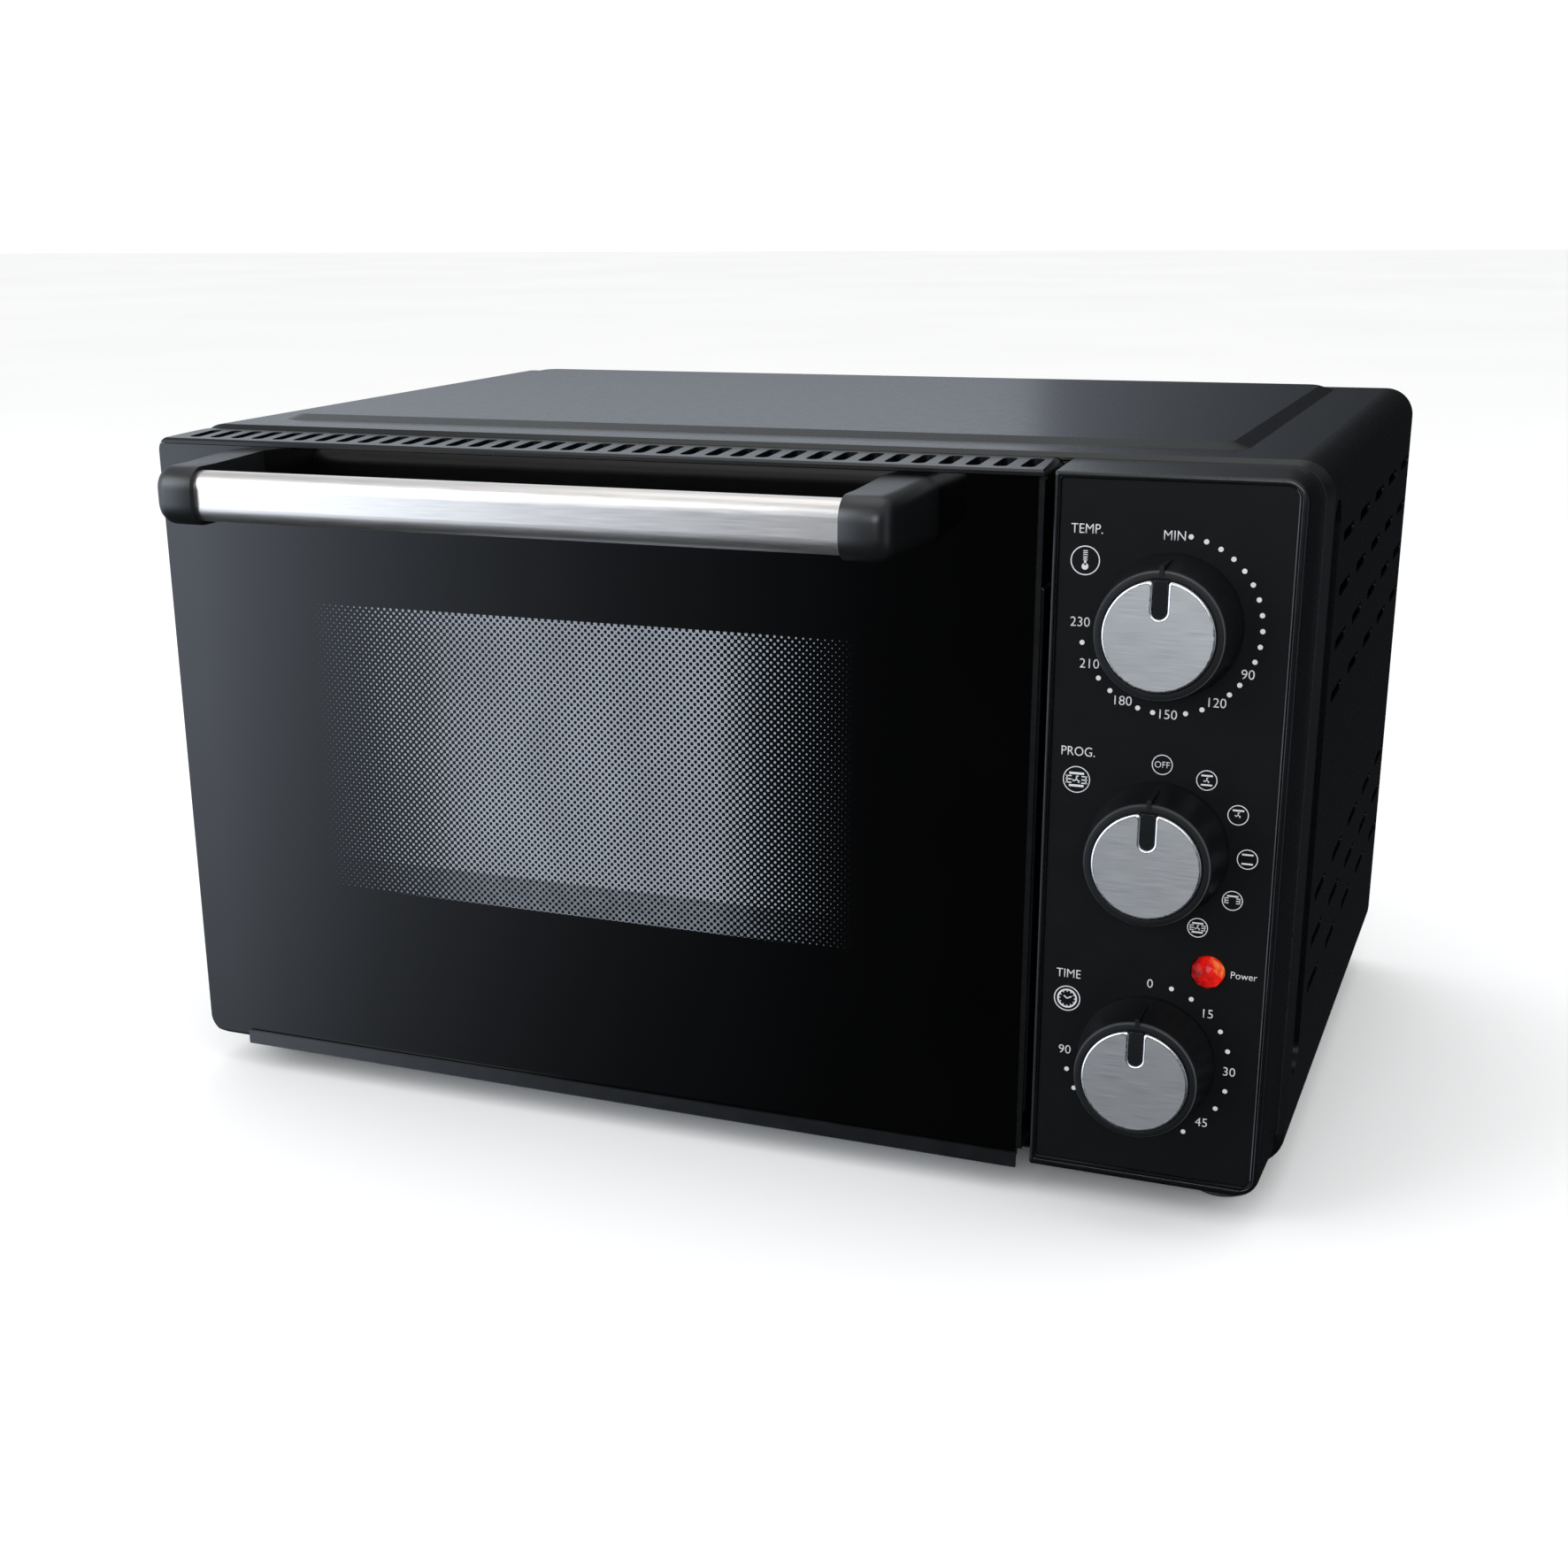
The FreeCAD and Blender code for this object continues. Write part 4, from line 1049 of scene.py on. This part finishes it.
# Corner radii: low left, low right, high right, high left.
HOLE_ROUND = (1.0, 3.0, 4.0, 1.0)
EDGE_ROUND = (1.0, 9.0, 8.0, 1.0)
BACK_ROUND = (1.0, 15.0, 12.0, 1.0)
HOLLOW_ROUND = (1.0, 5.0, 6.0, 1.0)
FASCIA_GAP = 0.15
# How much the right side and the top flare from the front edge to the back.
FLARE_RIGHT = 2.2
FLARE_TOP = 1.2
# A seam runs round just before the back edge, at this share of the flare and distance.
SEAM_SHARE = 0.982
SEAM_DEPTH = 0.45
# The hollow behind the rim: how far it is wider on each side, and how far back it starts.
HOLLOW_SIDES = (0.5, 0.8, 1.5, 0.8)
HOLLOW_DEPTH = 3.2
# Bands of the section given the lighter black as painted highlights, down the right side but for its
# foot.
PAINTED_HIGHLIGHT_BANDS = (1, 2, 7, len(RIM))
PAINTED_HIGHLIGHT_X = FASCIA_HIGH.x - 1.0 * MM
PAINTED_HIGHLIGHT_FOOT = 15
CORNER_STEPS = 8


def rounded_rectangle(box, radii, y):
    """Points round (x0, x1, z0, z1), from the low left corner by the low right."""
    x0, x1, z0, z1 = box
    corners = ((x0, z0, 1, 1, 180), (x1, z0, -1, 1, 270), (x1, z1, -1, -1, 0), (x0, z1, 1, -1, 90))
    points = []
    for (x, z, inward_x, inward_z, start), radius in zip(corners, radii):
        for n in range(CORNER_STEPS + 1):
            turn = math.radians(start + 90 * n / CORNER_STEPS)
            points.append((x + (inward_x + math.cos(turn)) * radius * MM, y,
                           z + (inward_z + math.sin(turn)) * radius * MM))
    return points


def blend(first, second, share):
    return tuple(a + (b - a) * share for a, b in zip(first, second))


def make_bezel(finishes):
    """Hollow frame round the fascia: a fine groove, a flat rim and a rounded, flared outer edge."""
    low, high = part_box("control_bezel")
    gap = FASCIA_GAP * MM
    hole = (FASCIA_LOW.x - gap, FASCIA_HIGH.x + gap, FASCIA_LOW.z - gap, FASCIA_HIGH.z + gap)
    edge = (low.x, high.x - FLARE_RIGHT * MM, low.z, high.z - FLARE_TOP * MM)
    back = (low.x, high.x, low.z, high.z)
    hollow = [side + sign * more * MM
              for side, sign, more in zip(hole, (-1, 1, -1, 1), HOLLOW_SIDES)]
    paths = [(blend(hole, edge, share), blend(HOLE_ROUND, EDGE_ROUND, share), low.y + y * MM)
             for share, y in RIM]
    paths += [
        (blend(edge, back, SEAM_SHARE), blend(EDGE_ROUND, BACK_ROUND, SEAM_SHARE),
         high.y - SEAM_DEPTH * MM),
        (back, BACK_ROUND, high.y),
        (hollow, HOLLOW_ROUND, high.y),
        (hollow, HOLLOW_ROUND, low.y + HOLLOW_DEPTH * MM),
    ]
    mesh = bmesh.new()
    rings = [ring_of(mesh, rounded_rectangle(*path)) for path in paths]
    for n, (first, second) in enumerate(zip(rings, rings[1:] + rings[:1])):
        for face in bridge(mesh, first, second):
            place = face.calc_center_median()
            on_painted_side = place.x > PAINTED_HIGHLIGHT_X and place.z > low.z + PAINTED_HIGHLIGHT_FOOT * MM
            # Painted highlight: these bands on the right side take the lighter black.
            if n in PAINTED_HIGHLIGHT_BANDS and on_painted_side:
                face.material_index = 1
    bezel = piece("bezel_frame", mesh, "cabinet", "black_plastic",
                  finishes["black_plastic"], finishes["painted_highlight_black"])
    smooth_by_angle(bezel, 30)
    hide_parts("control_bezel")


# ---- lamp, strip and back ----

# Sections as (radius, y from the piece's front); the screws' is counted from their heads.
LAMP_LENS = ((0, 0.0), (1.6, 0.05), (3.6, 0.75), (5.0, 2.0), (5.7, 3.5), (5.7, 7.3), (0, 7.3))
LAMP_FACETS = 10
SCREW = ((0, -7.7), (1.6, -7.7), (1.6, -2.0), (3.4, -2.0), (3.45, -1.6), (3.2, -0.9),
         (2.7, -0.35), (2.1, -0.1), (0, -0.1))
SCREW_STEPS = 40
# One of the four blocks between the arms of a screw's cross recess.
CROSS_BLOCK = ((0.35, 0.35), (1.75, 0.35), (1.45, 1.45), (0.35, 1.75))
CROSS_DEPTH = 0.3

# Door strip: its sides from the door's right side, its ends from the door's, and its depths.
STRIP_SIDES = (-0.4, 0.9)
STRIP_FOOT = 16.0
STRIP_HEAD = 36.0
STRIP_CUT = 1.2
STRIP_Y = (1.0, 12.0)

# Label: its middle (x, z) in metres, and half its width and height.
LABEL_MIDDLE = (-0.02, 0.178)
LABEL_HALF = (45.0, 24.0)
LABEL_ROUND = 2.5
LABEL_STEPS = 4
# Section of the label's border, from its back edge inwards, as (inset, height).
LABEL_BORDER = ((0, -0.2), (0, 0.25), (0.3, 0.4), (1.1, 0.4), (1.4, 0.25))


def make_lamp(finishes):
    """Red lens with ten facets."""
    mesh = bmesh.new()
    lathe(mesh, LAMP_LENS, LAMP.x, LAMP.z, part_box("lamp_lens")[0].y, LAMP_FACETS)
    lens = piece("lamp_cut_lens", mesh, "cabinet", "lamp_red", finishes["lamp_red"])
    bevel_edges(lens, 0.12, 2)
    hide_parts("lamp_lens")


def make_door_strip(finishes):
    """Thin upright strip on the door's edge, seen in the gap beside the controls."""
    low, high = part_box("door_frame")
    x0, x1 = (high.x + side * MM for side in STRIP_SIDES)
    z0 = low.z + STRIP_FOOT * MM
    z1 = high.z - STRIP_HEAD * MM
    cut = STRIP_CUT * MM
    mesh = bmesh.new()
    outline = [(x0, z0), (x1, z0 + cut), (x1, z1 - cut), (x0, z1)]
    flat_prism(mesh, outline, *(low.y + y * MM for y in STRIP_Y))
    strip = piece("door_edge_strip", mesh, "door", "black_plastic", finishes["black_plastic"])
    bevel_edges(strip, 0.25, 3)


def screw_places():
    """Centres of the back panel's screws, found as separate islands of the CAD node."""
    mesh = bmesh.new()
    mesh.from_mesh(nodes["back_panel_screws"].data)
    bmesh.ops.remove_doubles(mesh, verts=mesh.verts, dist=WELD)
    seen = set()
    places = []
    for start in mesh.verts:
        if start in seen:
            continue
        island = [start]
        seen.add(start)
        for vert in island:
            for edge in vert.link_edges:
                other = edge.other_vert(vert)
                if other not in seen:
                    seen.add(other)
                    island.append(other)
        xs = [v.co.x for v in island]
        zs = [v.co.z for v in island]
        places.append(((min(xs) + max(xs)) / 2, (min(zs) + max(zs)) / 2))
    mesh.free()
    return sorted(places)


def make_back_screws(finishes):
    """Pan-head screws with a cross recess: four blocks stand between the arms of the cross."""
    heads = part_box("back_panel_screws")[1].y
    mesh = bmesh.new()
    for x, z in screw_places():
        lathe(mesh, SCREW, x, z, heads, SCREW_STEPS)
        for degrees in (0, -90, -180, -270):
            block = [turned(px, pz, degrees) for px, pz in CROSS_BLOCK]
            outline = [(x + px * MM, z + pz * MM) for px, pz in block]
            flat_prism(mesh, outline, heads - CROSS_DEPTH * MM, heads)
    screws = piece("back_screws", mesh, "cabinet", "screw_steel", finishes["screw_steel"])
    smooth_by_angle(screws, 30)
    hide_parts("back_panel_screws")


def label_outline(inset, y):
    """Points round the label with rounded corners; y in metres."""
    x, z = LABEL_MIDDLE
    half_w, half_h = ((half - LABEL_ROUND) * MM for half in LABEL_HALF)
    radius = (LABEL_ROUND - inset) * MM
    points = []
    for sx, sz, start in ((1, 1, 0), (1, -1, 90), (-1, -1, 180), (-1, 1, 270)):
        for n in range(LABEL_STEPS + 1):
            turn = math.radians(start + 90 * n / LABEL_STEPS)
            points.append((x + sx * half_w + radius * math.sin(turn), y,
                           z + sz * half_h + radius * math.cos(turn)))
    return points


def make_label(finishes):
    """Blank foil label with a raised border on the back panel."""
    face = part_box("back_panel")[1].y
    mesh = bmesh.new()
    rings = [ring_of(mesh, label_outline(inset, face + y * MM)) for inset, y in LABEL_BORDER]
    for first, second in zip(rings, rings[1:]):
        bridge(mesh, first, second)
    mesh.faces.new(rings[0])
    mesh.faces.new(rings[-1])
    piece("blank_label", mesh, "cabinet", "screw_steel", finishes["label_foil"])


# ---- everything ----

def main():
    scene.view_settings.view_transform = "Standard"
    add_camera()
    add_world()
    add_floor()
    for name, settings in SOFTBOXES.items():
        add_softbox(name, *settings)
    finishes = make_materials()
    dress_nodes(finishes)
    for draw in (print_temperature, print_programmes, print_time):
        draw(finishes["white_ink"])
    for dial in DIALS:
        make_cap(dial, finishes)
        make_skirt(dial, finishes)
    for side in ("left", "right"):
        make_bracket(side, finishes)
    for make in (make_bezel, make_lamp, make_door_strip, make_back_screws, make_label):
        make(finishes)


main()
